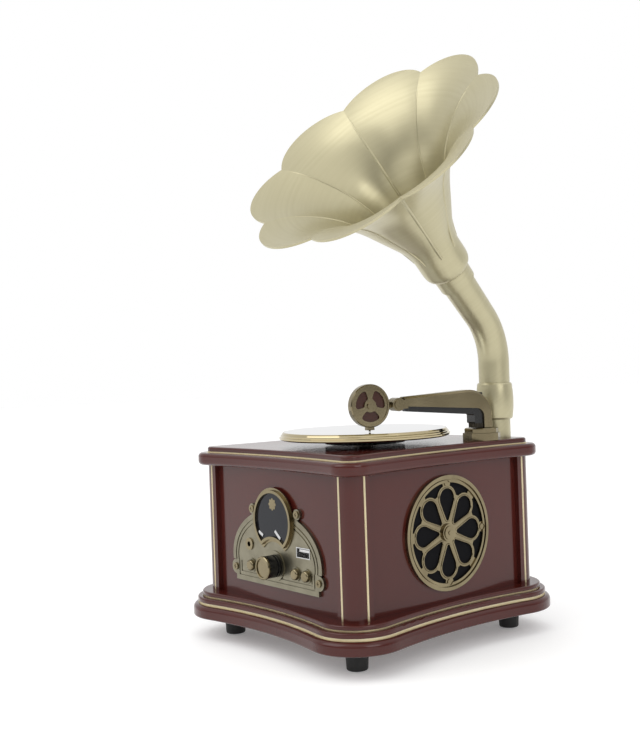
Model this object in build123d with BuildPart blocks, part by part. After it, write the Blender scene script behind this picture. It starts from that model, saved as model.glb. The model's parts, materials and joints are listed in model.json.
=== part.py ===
from build123d import *
import os
from math import atan2, cos, pi, radians, sin, sqrt, tan

# Tabletop gramophone: a wooden cabinet with controls in its front, a rosette grille in each
# side, a turning mirror platter, a swinging tonearm with a lifting soundbox, and a horn with
# eight petals on a bent neck. Sizes are in millimetres. The origin is the middle of the
# footprint on the floor, +Z is up, -Y is the front with the controls, +X is the right side.

# Clearances
run_gap = 0.05
button_gap = 0.1
seat_gap = 0.3

# Plinth: three rounded tiers with round corner lobes, hollow sides and a cove under each step
plinth_half_x = 100.0
plinth_half_y = 102.5
lobe_radius = 32.5
side_hollow = 7.0
tier_low_height = 8.7
cove_low_height = 1.8
tier_mid_height = 3.2
cove_high_height = 1.0
tier_top_height = 2.8
tier_mid_inset = 3.4
tier_top_inset = 6.9
cove_depth = 1.1
tier_low_round = 3.4
tier_small_round = 1.2

# Feet and their screws
foot_height = 15.5
foot_top_radius = 7.9
foot_sole_radius = 6.9
foot_x = 68.5
foot_y = 72.4
foot_sole_round = 1.0
foot_pocket_depth = 9.0
wood_screw_radius = 1.8
wood_screw_head = 3.4
wood_screw_head_height = 2.0
foot_screw_bite = 6.0

# Opening in the plinth and the plate that closes it from below
hatch_half_x = 54.0
hatch_half_y = 58.0
hatch_ledge = 7.0
hatch_thick = 4.0
hatch_corner = 5.0

# Cabinet: four posts with a quarter-round corner and a groove in each face, and four panels
cabinet_half_x = 83.8
cabinet_half_y = 86.3
cabinet_height = 90.8
post_width = 16.2
post_round = 11.0
groove_place = 11.6
groove_half_width = 0.8
groove_depth = 0.8
panel_recess = 3.5
panel_thick = 9.0

# Lid: a thick board with a smaller step on it
lid_half_x = 90.2
lid_half_y = 92.7
lid_lobe_radius = 15.0
lid_hollow = 4.8
lid_board_height = 8.8
lid_step_height = 4.0
lid_step_inset = 7.0
lid_board_round = 2.8
lid_step_round = 1.5

# Control plate on the front: an arch with four screw ears and two fine grooves
control_x = 0.8
arch_half_x = 50.3
arch_rise = 34.5
arch_z = 62.0
arch_cusp_z = 58.5
plate_half_foot = 46.6
plate_bottom_z = 44.5
plate_thick = 2.0
low_ear_x = 47.0
low_ear_z = 53.2
low_ear_radius = 5.0
high_ear_x = 25.4
high_ear_z = 95.6
high_ear_radius = 3.6
plate_screw_radius = 1.3
plate_screw_head = 2.5
plate_screw_head_height = 0.9
plate_screw_length = 9.0
screw_cross = 2.6
screw_cross_width = 0.6
plate_line_insets = (3.4, 6.2)
plate_line_width = 1.1
plate_line_depth = 0.5

# Display: a round frame cut away below, round the knob
display_radius = 20.9
display_z = 89.3
display_cut_radius = 18.0
display_skirt = 1.6
display_skirt_height = 0.8
display_height = 2.4
display_rim = 1.9
window_thick = 0.9
module_half_x = 12.5
module_low_z = 82.0
module_high_z = 100.0
module_depth = 8.0

# Volume knob and its flange
knob_z = 59.0
knob_radius = 7.6
knob_length = 8.6
knob_gap = 0.4
knob_neck_length = 1.2
knob_neck_radius = 6.6
cap_radius = 7.9
cap_thick = 1.6
cap_dish = 0.7
flange_radius = 10.2
flange_thick = 0.6
shaft_radius = 3.0
shaft_length = 6.5
pot_half = 7.0
pot_front_gap = 0.6

# Push buttons: place along the plate and name of each
button_places = ((-27.2, "button_left"), (23.2, "button_middle"), (34.6, "button_right"))
button_z = 56.4
button_radius = 3.75
button_proud = 2.9
button_dome = 1.3
button_travel = 1.2
button_lip = 4.6
button_lip_thick = 1.0
button_stem_radius = 1.5
button_stem_length = 1.8
button_slack = 0.2
collar_radius = 4.8
collar_height = 0.7
switch_half = 3.0

# Sockets in the control plate
jack_x = -29.4
jack_z = 70.8
jack_bore = 1.8
jack_bore_depth = 10.0
jack_barrel = 3.0
jack_nut = 4.2
jack_nut_height = 0.8
usb_x = 31.6
usb_z = 71.0
usb_half_x = 7.2
usb_half_z = 3.5
usb_wall = 0.6
usb_depth = 9.5
usb_proud = 0.4
usb_tongue_half = 5.2
usb_tongue_thick = 1.7
usb_tongue_drop = 0.7
usb_tongue_sink = 1.2
pinhole_x = -21.6
pinhole_z = 56.9
pinhole_radius = 0.7

# Room for the controls in the front panel and the board behind it
controls_half_x = 42.5
controls_low_z = 50.0
controls_high_z = 78.0
board_thick = 1.6
board_margin = 4.0

# Rosette grille, one in each side panel
grille_z = 78.4
grille_radius = 38.6
grille_web = 1.0
rim_outer_width = 2.3
rim_groove_width = 1.0
rim_inner_width = 1.7
rim_height = 2.5
rim_inner_height = 2.0
petal_count = 8
petal_far = 22.8
petal_far_radius = 6.7
petal_near = 9.6
petal_near_radius = 1.3
petal_frame = 2.2
spandrel_start = 26.0
pad_half = 3.6
screw_circle = 33.1
grille_screw_radius = 1.2
grille_screw_head = 2.0
grille_screw_head_height = 0.5
grille_screw_length = 7.0
finial_radii = (6.0, 4.6, 3.0, 1.5)
finial_steps = (1.6, 2.2, 1.5, 2.6)
cloth_thick = 0.8
cloth_radius = 35.6
speaker_hole = 29.5

# Speaker drivers behind the grilles
basket_radius = 36.0
basket_flange = 1.6
basket_depth = 15.0
basket_back_radius = 18.0
basket_wall = 1.2
magnet_radius = 20.0
magnet_depth = 9.0
cone_thick = 0.8
cone_back_radius = 9.0
cone_depth = 11.0
dust_cap_rise = 3.0

# Amplifier board above the hatch plate, and the power inlet in the back
amp_half_x = 36.0
amp_half_y = 26.0
amp_lift = 5.0
amp_post_radius = 2.5
amp_post_inset = 4.0
heatsink_half = 12.0
heatsink_base = 3.0
heatsink_height = 14.0
heatsink_fin = 1.5
heatsink_count = 5
heatsink_y = 8.0
capacitor_places = ((-26.0, -12.0), (-12.0, -14.0), (24.0, -12.0))
capacitor_radius = 5.0
capacitor_height = 12.0
inlet_x = -42.0
inlet_z = 52.0
inlet_bore = 2.8
inlet_bore_depth = 10.0
inlet_barrel = 4.0
inlet_flange = 6.0
inlet_flange_height = 1.2
inlet_back = 3.0
inlet_pin = 1.0
inlet_pin_length = 8.0

# Platter on its spindle
platter_x = 17.0
platter_y = -15.0
platter_radius = 60.5
platter_lift = 5.2
platter_top = 10.6
mirror_radius = 56.8
mirror_thick = 2.0
ledge_width = 1.2
pan_height = 3.0
rim_profile = (
    (-1.4, 0.0),
    (0.0, 0.9),
    (0.0, 1.9),
    (-0.9, 2.4),
    (-0.9, 3.2),
    (-1.6, 3.7),
    (-2.0, 4.6),
    (-2.8, 5.4),
)
toothed_radius = 28.3
tooth_depth = 1.8
tooth_count = 48
toothed_thick = 4.0
spindle_radius = 3.0
spindle_collar = 5.5
clip_radius = 6.0
clip_thick = 1.0
bush_radius = 6.0
bush_flange = 9.0
bush_flange_height = 0.5
thrust_gap = 0.2

# Tonearm, drawn from its post towards the soundbox; heights are above the lid
arm_x = 67.9
arm_y = 50.9
arm_heading = 14.5
foot_low_width = 24.0
foot_low_height = 5.2
foot_high_width = 21.6
foot_high_height = 3.5
foot_cut_low = 6.0
foot_cut_high = 5.4
leg_back = 6.2
leg_split = 1.6
leg_front = 8.6
leg_half = 6.8
arm_tip_half = 3.6
arm_tip = 64.0
arm_top = 37.2
arm_top_at_tip = 33.3
arm_under = 23.3
arm_under_at_tip = 26.8
channel_under = 18.6
channel_under_at_tip = 23.2
elbow_outer = 19.0
elbow_inner = 6.0
arm_bevel = 1.6
channel_inset = 1.5
channel_roof = 3.0
flute_count = 4
flute_radius = 0.9
arm_shaft_radius = 3.5
foot_stud_radius = 5.5
foot_nut_radius = 9.0
foot_nut_height = 4.0
foot_pocket_radius = 9.3
nut_pocket = 6.0
arm_clip_radius = 5.5

# Soundbox and its hinge at the end of the arm
hinge_reach = 68.2
hinge_rise = 28.3
knuckle_radius = 4.6
knuckle_half = 4.2
tongue_half = 1.3
tongue_gap = 0.3
pin_radius = 1.5
pin_head_radius = 3.2
pin_head_thick = 0.6
soundbox_reach = 89.0
soundbox_radius = 14.6
soundbox_half = 2.8
soundbox_rim = 1.7
soundbox_recess = 3.4
face_thick = 1.2
face_sink = 0.5
window_inner = 4.4
window_outer = 10.9
window_half_span = 42.0
window_round = 1.8
boss_radius = 2.4
boss_height = 1.0
diaphragm_thick = 0.5
stylus_width = 5.2
stylus_depth = 4.0
stylus_overlap = 1.0
needle_radius = 0.7
needle_length = 1.0
stylus_gap = 0.3
neck_half_height = 2.0

# Horn: socket on the lid, sleeve, bent neck and bell
horn_x = 60.5
horn_y = 74.5
horn_heading = 6.6
horn_pitch = 42.5
bend_corner = 74.9
bend_radius = 46.0
neck_radius = 11.2
neck_wall = 1.4
neck_end_radius = 12.0
socket_radius = 10.7
socket_height = 13.3
spigot_height = 22.0
socket_bore = 6.5
socket_tail = 8.5
socket_nut = 13.0
socket_nut_height = 4.0
socket_pocket_radius = 13.3
sleeve_radius = 12.6
sleeve_bulge = 0.9
sleeve_length = 26.2
bell_reach = 173.8
bell_length = 118.5
collar_length = 11.5
collar_start_radius = 13.5
collar_end_radius = 13.2
bell_wall = 1.2
notch_radius = 82.0
tip_radius = 92.6
bell_petals = 8
petal_bulge = 3.0
bulge_length = 35.0
bell_profile = (
    (-4.5, 101.9),
    (-2.5, 91.1),
    (-0.5, 83.3),
    (2.0, 76.2),
    (5.0, 69.8),
    (9.0, 63.2),
    (15.0, 55.5),
    (23.0, 47.3),
    (34.0, 38.8),
    (48.0, 31.6),
    (66.0, 23.4),
    (86.0, 17.4),
    (107.0, 13.2),
)
rib_radius = 1.1

# Heights that follow from the sizes above
plinth_z = foot_height
cove_low_z = plinth_z + tier_low_height
tier_mid_z = cove_low_z + cove_low_height
cove_high_z = tier_mid_z + tier_mid_height
tier_top_z = cove_high_z + cove_high_height
cabinet_z = tier_top_z + tier_top_height
lid_z = cabinet_z + cabinet_height
lid_step_z = lid_z + lid_board_height
lid_top = lid_step_z + lid_step_height

# Faces of the recessed panels, measured from the middle of the cabinet
front_face = cabinet_half_y - panel_recess
side_face = cabinet_half_x - panel_recess
panel_half_x = cabinet_half_x - post_width
panel_half_y = cabinet_half_y - post_width
panel_mid_z = cabinet_z + cabinet_height / 2
plate_face = front_face + plate_thick
board_face = front_face - panel_thick

os.makedirs("parts", exist_ok=True)


def save(piece, name):
    """Labels a finished sub-part and writes it under its own name."""
    piece.part.label = name
    export_step(piece.part, f"parts/{name}.step")


def front(distance):
    """Upright plane seen from the front, this far in front of the middle."""
    return Plane.XZ.offset(distance)


def turned(origin, axis, radial):
    """Plane for turned parts: its x runs out from the axis, its y along the axis."""
    return Plane(origin=origin, x_dir=radial, z_dir=Vector(radial).cross(Vector(axis)))


def edges_at(piece, height):
    """Long edges of the part that lie flat at one height."""
    return piece.edges().filter_by(lambda e: e.length > 4 and abs(e.center().Z - height) < 1e-4)


def lobed_outline(half_x, half_y, radius, hollow, inset):
    """Draws a plan with four round lobes joined by hollow sides, all arcs tangent."""
    lobe_x, lobe_y = half_x - radius, half_y - radius
    rise = radius - hollow
    side_x = (hollow**2 + lobe_y**2) / (2 * hollow) - radius
    side_y = (hollow**2 + lobe_x**2) / (2 * hollow) - radius
    angle_x = atan2(-lobe_y, side_x + rise)
    angle_y = atan2(side_y + rise, -lobe_x)
    reach = radius - inset
    ends = []
    for angle in (angle_x, (angle_x + angle_y) / 2, angle_y):
        ends.append((lobe_x + reach * cos(angle), lobe_y + reach * sin(angle)))
    for side_a, side_b in ((1, 1), (-1, 1), (-1, -1), (1, -1)):
        ThreePointArc(*[(side_a * x, side_b * y) for x, y in ends])
    for side in (1, -1):
        x, y = ends[0]
        ThreePointArc((side * x, -y), (side * (half_x - hollow - inset), 0), (side * x, y))
        x, y = ends[2]
        ThreePointArc((-x, side * y), (0, side * (half_y - hollow - inset)), (x, side * y))


def plinth_tier(low_z, height, inset):
    """Adds one tier of the plinth to the part that is being built."""
    with BuildSketch(Plane.XY.offset(low_z)) as plan:
        with BuildLine():
            lobed_outline(plinth_half_x, plinth_half_y, lobe_radius, side_hollow, inset)
        make_face()
    extrude(plan.sketch, amount=height)


with BuildPart() as plinth:
    plinth_tier(plinth_z, tier_low_height, 0)
    fillet(edges_at(plinth, cove_low_z), tier_low_round)
    fillet(edges_at(plinth, plinth_z), tier_small_round)
    plinth_tier(cove_low_z, cove_low_height, tier_mid_inset + cove_depth)
    plinth_tier(tier_mid_z, tier_mid_height, tier_mid_inset)
    fillet(edges_at(plinth, cove_high_z), tier_small_round)
    plinth_tier(cove_high_z, cove_high_height, tier_top_inset + cove_depth)
    plinth_tier(tier_top_z, tier_top_height, tier_top_inset)
    fillet(edges_at(plinth, cabinet_z), tier_small_round)
    with BuildSketch(Plane.XY.offset(plinth_z)):
        RectangleRounded(2 * (hatch_half_x - hatch_ledge), 2 * (hatch_half_y - hatch_ledge), hatch_corner)
    extrude(amount=cabinet_z - plinth_z, mode=Mode.SUBTRACT)
    with BuildSketch(Plane.XY.offset(plinth_z)):
        RectangleRounded(2 * (hatch_half_x + seat_gap), 2 * (hatch_half_y + seat_gap), hatch_corner)
    extrude(amount=hatch_thick, mode=Mode.SUBTRACT)
    with BuildSketch(Plane.XY.offset(plinth_z)):
        with GridLocations(2 * foot_x, 2 * foot_y, 2, 2):
            Circle(wood_screw_radius)
        with GridLocations(2 * hatch_half_x - hatch_ledge, hatch_half_y - hatch_ledge / 2, 2, 3):
            Circle(wood_screw_radius)
    extrude(amount=hatch_thick + foot_screw_bite, mode=Mode.SUBTRACT)
save(plinth, "plinth")

with BuildPart() as feet:
    with GridLocations(2 * foot_x, 2 * foot_y, 2, 2):
        Cone(foot_sole_radius, foot_top_radius, foot_height, align=(Align.CENTER, Align.CENTER, Align.MIN))
    fillet(feet.edges().group_by(Axis.Z)[0], foot_sole_round)
    with BuildSketch():
        with GridLocations(2 * foot_x, 2 * foot_y, 2, 2):
            Circle(wood_screw_head + seat_gap)
    extrude(amount=foot_pocket_depth, mode=Mode.SUBTRACT)
    with BuildSketch():
        with GridLocations(2 * foot_x, 2 * foot_y, 2, 2):
            Circle(wood_screw_radius)
    extrude(amount=foot_height, mode=Mode.SUBTRACT)
save(feet, "feet")


def wood_screws(head_z, length, grid):
    """Adds screws that point up, with the tops of their heads at this height."""
    with BuildSketch(Plane.XY.offset(head_z - wood_screw_head_height)) as heads:
        with GridLocations(*grid):
            Circle(wood_screw_head)
    extrude(heads.sketch, amount=wood_screw_head_height)
    with BuildSketch(Plane.XY.offset(head_z)) as shanks:
        with GridLocations(*grid):
            Circle(wood_screw_radius)
    extrude(shanks.sketch, amount=length)


hatch_grid = (2 * hatch_half_x - hatch_ledge, hatch_half_y - hatch_ledge / 2, 2, 3)

with BuildPart() as foot_screws:
    foot_screw_length = foot_height - foot_pocket_depth + hatch_thick + foot_screw_bite
    wood_screws(foot_pocket_depth, foot_screw_length, (2 * foot_x, 2 * foot_y, 2, 2))
save(foot_screws, "foot_screws")

with BuildPart() as hatch_screws:
    wood_screws(plinth_z, hatch_thick + foot_screw_bite, hatch_grid)
save(hatch_screws, "hatch_screws")

amp_posts = (2 * (amp_half_x - amp_post_inset), 2 * (amp_half_y - amp_post_inset), 2, 2)

with BuildPart() as hatch_plate:
    with BuildSketch(Plane.XY.offset(plinth_z)):
        RectangleRounded(2 * hatch_half_x, 2 * hatch_half_y, hatch_corner - seat_gap)
        with GridLocations(*hatch_grid):
            Circle(wood_screw_radius, mode=Mode.SUBTRACT)
    extrude(amount=hatch_thick)
    with BuildSketch(Plane.XY.offset(plinth_z + hatch_thick)):
        with GridLocations(*amp_posts):
            Circle(amp_post_radius)
    extrude(amount=amp_lift)
save(hatch_plate, "hatch_plate")

with BuildPart() as corner_posts:
    with BuildSketch(Plane.XY.offset(cabinet_z)) as post_plan:
        with Locations((cabinet_half_x - post_width / 2, cabinet_half_y - post_width / 2)):
            Rectangle(post_width, post_width)
        fillet(post_plan.vertices().sort_by(lambda v: v.X + v.Y)[-1], post_round)
        groove_x = cabinet_half_x - groove_place
        groove_y = cabinet_half_y - groove_place
        with BuildLine():
            Polyline(
                (cabinet_half_x, groove_y + groove_half_width),
                (cabinet_half_x - groove_depth, groove_y),
                (cabinet_half_x, groove_y - groove_half_width),
                close=True,
            )
        make_face(mode=Mode.SUBTRACT)
        with BuildLine():
            Polyline(
                (groove_x + groove_half_width, cabinet_half_y),
                (groove_x, cabinet_half_y - groove_depth),
                (groove_x - groove_half_width, cabinet_half_y),
                close=True,
            )
        make_face(mode=Mode.SUBTRACT)
        mirror(about=Plane.YZ)
        mirror(about=Plane.XZ)
    extrude(amount=cabinet_height)
save(corner_posts, "corner_posts")

low_ears = [(control_x + s * low_ear_x, low_ear_z) for s in (-1, 1)]
high_ears = [(control_x + s * high_ear_x, high_ear_z) for s in (-1, 1)]

with BuildPart() as front_panel:
    with BuildSketch(front(front_face)):
        with Locations((0, panel_mid_z)):
            Rectangle(2 * panel_half_x, cabinet_height)
        with Locations((control_x, (controls_low_z + controls_high_z) / 2)):
            Rectangle(2 * controls_half_x, controls_high_z - controls_low_z, mode=Mode.SUBTRACT)
        with Locations((control_x, (module_low_z + module_high_z) / 2)):
            Rectangle(2 * module_half_x, module_high_z - module_low_z, mode=Mode.SUBTRACT)
    extrude(amount=-panel_thick)
    with BuildSketch(front(front_face)):
        with Locations(*low_ears, *high_ears):
            Circle(plate_screw_radius)
    extrude(amount=plate_thick - plate_screw_length, mode=Mode.SUBTRACT)
save(front_panel, "front_panel")

with BuildPart() as rear_panel:
    with BuildSketch(front(-front_face)):
        with Locations((0, panel_mid_z)):
            Rectangle(2 * panel_half_x, cabinet_height)
        with Locations((inlet_x, inlet_z)):
            Circle(inlet_barrel, mode=Mode.SUBTRACT)
    extrude(amount=panel_thick)
save(rear_panel, "rear_panel")

screw_holes = [(screw_circle * cos(k * pi / 2), screw_circle * sin(k * pi / 2)) for k in range(4)]


def side_plane(side, distance):
    """Upright plane of a side wall, centred on its grille and facing outwards."""
    return Plane(origin=(side * distance, 0, grille_z), x_dir=(0, side, 0), z_dir=(side, 0, 0))


for side, word in ((1, "right"), (-1, "left")):
    with BuildPart() as side_panel:
        with BuildSketch(side_plane(side, side_face)):
            with Locations((0, panel_mid_z - grille_z)):
                Rectangle(2 * panel_half_y, cabinet_height)
            Circle(speaker_hole, mode=Mode.SUBTRACT)
        extrude(amount=-panel_thick)
        with BuildSketch(side_plane(side, side_face)):
            Circle(cloth_radius)
        extrude(amount=-cloth_thick, mode=Mode.SUBTRACT)
        with BuildSketch(side_plane(side, side_face)):
            with Locations(*screw_holes):
                Circle(grille_screw_radius)
        extrude(amount=grille_web - grille_screw_length, mode=Mode.SUBTRACT)
    save(side_panel, f"{word}_panel")

with BuildPart() as lid:
    with BuildSketch(Plane.XY.offset(lid_z)):
        with BuildLine():
            lobed_outline(lid_half_x, lid_half_y, lid_lobe_radius, lid_hollow, 0)
        make_face()
    extrude(amount=lid_board_height)
    fillet(edges_at(lid, lid_z), lid_board_round)
    fillet(edges_at(lid, lid_step_z), lid_board_round)
    with BuildSketch(Plane.XY.offset(lid_step_z)):
        with BuildLine():
            lobed_outline(lid_half_x, lid_half_y, lid_lobe_radius, lid_hollow, lid_step_inset)
        make_face()
    extrude(amount=lid_step_height)
    fillet(edges_at(lid, lid_top), lid_step_round)
    with BuildSketch(Plane.XY.offset(lid_z)):
        with Locations((platter_x, platter_y)):
            Circle(bush_radius)
        with Locations((arm_x, arm_y)):
            Circle(foot_stud_radius)
        with Locations((horn_x, horn_y)):
            Circle(socket_tail)
    extrude(amount=lid_top - lid_z, mode=Mode.SUBTRACT)
    with BuildSketch(Plane.XY.offset(lid_z)):
        with Locations((arm_x, arm_y)):
            Circle(foot_pocket_radius)
        with Locations((horn_x, horn_y)):
            Circle(socket_pocket_radius)
    extrude(amount=nut_pocket, mode=Mode.SUBTRACT)
save(lid, "lid")


def arch_outline(inset):
    """Adds the arch of the control plate to the open sketch, without its ears."""
    with Locations((control_x, arch_z)):
        Ellipse(arch_half_x - inset, arch_rise - inset)
    with Locations((control_x, arch_cusp_z - arch_half_x)):
        Rectangle(4 * arch_half_x, 2 * arch_half_x, mode=Mode.SUBTRACT)
    low = plate_bottom_z + inset
    with Locations((control_x, (low + arch_z) / 2)):
        Rectangle(2 * (plate_half_foot - inset), arch_z - low)


with BuildPart() as control_plate:
    with BuildSketch(front(front_face)):
        arch_outline(0)
        with Locations(*low_ears):
            Circle(low_ear_radius)
        with Locations(*high_ears):
            Circle(high_ear_radius)
        with Locations(*low_ears, *high_ears):
            Circle(plate_screw_radius, mode=Mode.SUBTRACT)
        with Locations((control_x, knob_z)):
            Circle(shaft_radius + seat_gap, mode=Mode.SUBTRACT)
        with Locations(*[(x + control_x, button_z) for x, name in button_places]):
            Circle(button_radius + button_gap, mode=Mode.SUBTRACT)
        with Locations((jack_x + control_x, jack_z)):
            Circle(jack_barrel, mode=Mode.SUBTRACT)
        with Locations((usb_x + control_x, usb_z)):
            Rectangle(2 * usb_half_x, 2 * usb_half_z, mode=Mode.SUBTRACT)
        with Locations((pinhole_x + control_x, pinhole_z)):
            Circle(pinhole_radius, mode=Mode.SUBTRACT)
        with Locations((control_x, (module_low_z + module_high_z) / 2)):
            Rectangle(2 * module_half_x, module_high_z - module_low_z, mode=Mode.SUBTRACT)
    extrude(amount=plate_thick)
    with BuildSketch(front(plate_face)):
        with Locations(*[(x + control_x, button_z) for x, name in button_places]):
            Circle(collar_radius)
            Circle(button_radius + button_gap, mode=Mode.SUBTRACT)
    extrude(amount=collar_height)
    with BuildSketch(front(plate_face)):
        with Locations((control_x, knob_z)):
            Circle(flange_radius)
            Circle(shaft_radius + seat_gap, mode=Mode.SUBTRACT)
    extrude(amount=flange_thick)
    for inset in plate_line_insets:
        with BuildSketch(front(plate_face)):
            arch_outline(inset)
            with BuildSketch(front(plate_face), mode=Mode.PRIVATE) as line_hole:
                arch_outline(inset + plate_line_width)
            add(line_hole.sketch_local, mode=Mode.SUBTRACT)
        extrude(amount=-plate_line_depth, mode=Mode.SUBTRACT)
save(control_plate, "control_plate")

with BuildPart() as plate_screws:
    with BuildSketch(front(plate_face)):
        with Locations(*low_ears, *high_ears):
            Circle(plate_screw_head)
    extrude(amount=plate_screw_head_height)
    with BuildSketch(front(plate_face + plate_screw_head_height)):
        for x, z in low_ears + high_ears:
            with Locations((x, z)):
                Rectangle(screw_cross, screw_cross_width)
                Rectangle(screw_cross_width, screw_cross)
    extrude(amount=-plate_screw_head_height / 2, mode=Mode.SUBTRACT)
    with BuildSketch(front(plate_face)):
        with Locations(*low_ears, *high_ears):
            Circle(plate_screw_radius)
    extrude(amount=-plate_screw_length)
save(plate_screws, "plate_screws")


def display_outline(inset):
    """Adds the display's round outline, cut away round the knob, to the open sketch."""
    with Locations((control_x, display_z)):
        Circle(display_radius - inset)
    with Locations((control_x, knob_z)):
        Circle(display_cut_radius + inset, mode=Mode.SUBTRACT)


def display_ring(outer_inset, height):
    """Adds one height of the display's frame, down to its inner edge."""
    with BuildSketch(front(plate_face)) as ring:
        display_outline(outer_inset)
        with BuildSketch(front(plate_face), mode=Mode.PRIVATE) as hole:
            display_outline(display_rim)
        add(hole.sketch_local, mode=Mode.SUBTRACT)
    extrude(ring.sketch, amount=height)


with BuildPart() as display_bezel:
    display_ring(-display_skirt, display_skirt_height)
    display_ring(0, display_height)
save(display_bezel, "display_bezel")

with BuildPart() as display_window:
    with BuildSketch(front(plate_face)):
        display_outline(display_rim)
    extrude(amount=window_thick)
save(display_window, "display_window")

with BuildPart() as display_module:
    with BuildSketch(front(plate_face)):
        with Locations((control_x, (module_low_z + module_high_z) / 2)):
            Rectangle(2 * module_half_x, module_high_z - module_low_z)
    extrude(amount=-module_depth)
save(display_module, "display_module")

stem_end = front_face - button_slack - button_lip_thick - button_stem_length
switch_face = stem_end - button_travel - button_slack

with BuildPart() as control_board:
    with BuildSketch(front(board_face)):
        with Locations((control_x, (controls_low_z + controls_high_z) / 2)):
            Rectangle(
                2 * (controls_half_x + board_margin), controls_high_z - controls_low_z + 2 * board_margin
            )
    extrude(amount=-board_thick)
    with BuildSketch(front(board_face)):
        with Locations((control_x, knob_z)):
            Rectangle(2 * pot_half, 2 * pot_half)
            Circle(shaft_radius + run_gap, mode=Mode.SUBTRACT)
    extrude(amount=panel_thick - pot_front_gap)
    with BuildSketch(front(board_face)):
        with Locations(*[(x + control_x, button_z) for x, name in button_places]):
            Rectangle(2 * switch_half, 2 * switch_half)
    extrude(amount=switch_face - board_face)
save(control_board, "control_board")

with BuildPart() as volume_knob:
    with BuildSketch(front(plate_face + flange_thick + knob_gap)):
        with Locations((control_x, knob_z)):
            Circle(knob_radius)
    extrude(amount=knob_length)
    with BuildSketch(front(plate_face + flange_thick + knob_gap + knob_neck_length)):
        with Locations((control_x, knob_z)):
            Circle(knob_radius)
            Circle(knob_neck_radius, mode=Mode.SUBTRACT)
    extrude(amount=knob_neck_length, mode=Mode.SUBTRACT)
    with BuildSketch(front(plate_face + flange_thick + knob_gap)):
        with Locations((control_x, knob_z)):
            Circle(shaft_radius)
    extrude(amount=-(flange_thick + knob_gap + plate_thick + shaft_length))
save(volume_knob, "volume_knob")

knob_end = plate_face + flange_thick + knob_gap + knob_length
with BuildPart() as knob_cap:
    with BuildSketch(front(knob_end)):
        with Locations((control_x, knob_z)):
            Circle(cap_radius)
    extrude(amount=cap_thick)
    chamfer(knob_cap.edges().group_by(Axis.Y)[0], cap_thick / 3)
    with BuildSketch(front(knob_end + cap_thick)):
        with Locations((control_x, knob_z)):
            Circle(cap_radius - cap_thick)
    extrude(amount=-cap_dish, mode=Mode.SUBTRACT)
save(knob_cap, "knob_cap")

for x, name in button_places:
    with BuildPart() as button:
        button_back = front_face - button_slack
        with BuildSketch(front(button_back)):
            with Locations((x + control_x, button_z)):
                Circle(button_radius)
        extrude(amount=plate_face + button_proud - button_back)
        fillet(button.edges().group_by(Axis.Y)[0], button_dome)
        with BuildSketch(front(button_back)):
            with Locations((x + control_x, button_z)):
                Circle(button_lip)
        extrude(amount=-button_lip_thick)
        with BuildSketch(front(button_back - button_lip_thick)):
            with Locations((x + control_x, button_z)):
                Circle(button_stem_radius)
        extrude(amount=-button_stem_length)
    save(button, name)

with BuildPart() as aux_jack:
    with BuildSketch(front(board_face)):
        with Locations((jack_x + control_x, jack_z)):
            Circle(jack_barrel)
    extrude(amount=plate_face - board_face)
    with BuildSketch(front(plate_face)):
        with Locations((jack_x + control_x, jack_z)):
            Circle(jack_nut)
    extrude(amount=jack_nut_height)
    with BuildSketch(front(plate_face + jack_nut_height)):
        with Locations((jack_x + control_x, jack_z)):
            Circle(jack_bore)
    extrude(amount=-jack_bore_depth, mode=Mode.SUBTRACT)
save(aux_jack, "aux_jack")

with BuildPart() as usb_socket:
    with BuildSketch(front(plate_face + usb_proud)):
        with Locations((usb_x + control_x, usb_z)):
            Rectangle(2 * usb_half_x, 2 * usb_half_z)
    extrude(amount=-(usb_proud + plate_face - board_face))
    with BuildSketch(front(plate_face + usb_proud)):
        with Locations((usb_x + control_x, usb_z)):
            Rectangle(2 * (usb_half_x - usb_wall), 2 * (usb_half_z - usb_wall))
    extrude(amount=-usb_depth, mode=Mode.SUBTRACT)
    with BuildSketch(front(plate_face + usb_proud - usb_depth)):
        tongue_z = usb_z + usb_half_z - usb_wall - usb_tongue_drop - usb_tongue_thick / 2
        with Locations((usb_x + control_x, tongue_z)):
            Rectangle(2 * usb_tongue_half, usb_tongue_thick)
    extrude(amount=usb_depth - usb_tongue_sink)
save(usb_socket, "usb_socket")


def teardrop(angle, grow):
    """Adds one petal opening of the rosette, grown all round by an amount."""
    far_radius = petal_far_radius + grow
    near_radius = petal_near_radius + grow
    ax, ay = cos(angle), sin(angle)
    lean = (far_radius - near_radius) / (petal_far - petal_near)
    rise = sqrt(1 - lean**2)
    corners = []
    for along, radius, side in (
        (petal_near, near_radius, 1),
        (petal_far, far_radius, 1),
        (petal_far, far_radius, -1),
        (petal_near, near_radius, -1),
    ):
        u, v = along - radius * lean, side * radius * rise
        corners.append((u * ax - v * ay, u * ay + v * ax))
    with BuildLine() as flanks:
        Polyline(*corners, close=True)
    make_face(flanks.edges())
    with Locations((petal_far * ax, petal_far * ay)):
        Circle(far_radius)
    with Locations((petal_near * ax, petal_near * ay)):
        Circle(near_radius)


petal_angles = [pi / 2 + 2 * pi * k / petal_count for k in range(petal_count)]
rim_inner_radius = grille_radius - rim_outer_width - rim_groove_width
web_radius = rim_inner_radius - rim_inner_width

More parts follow.
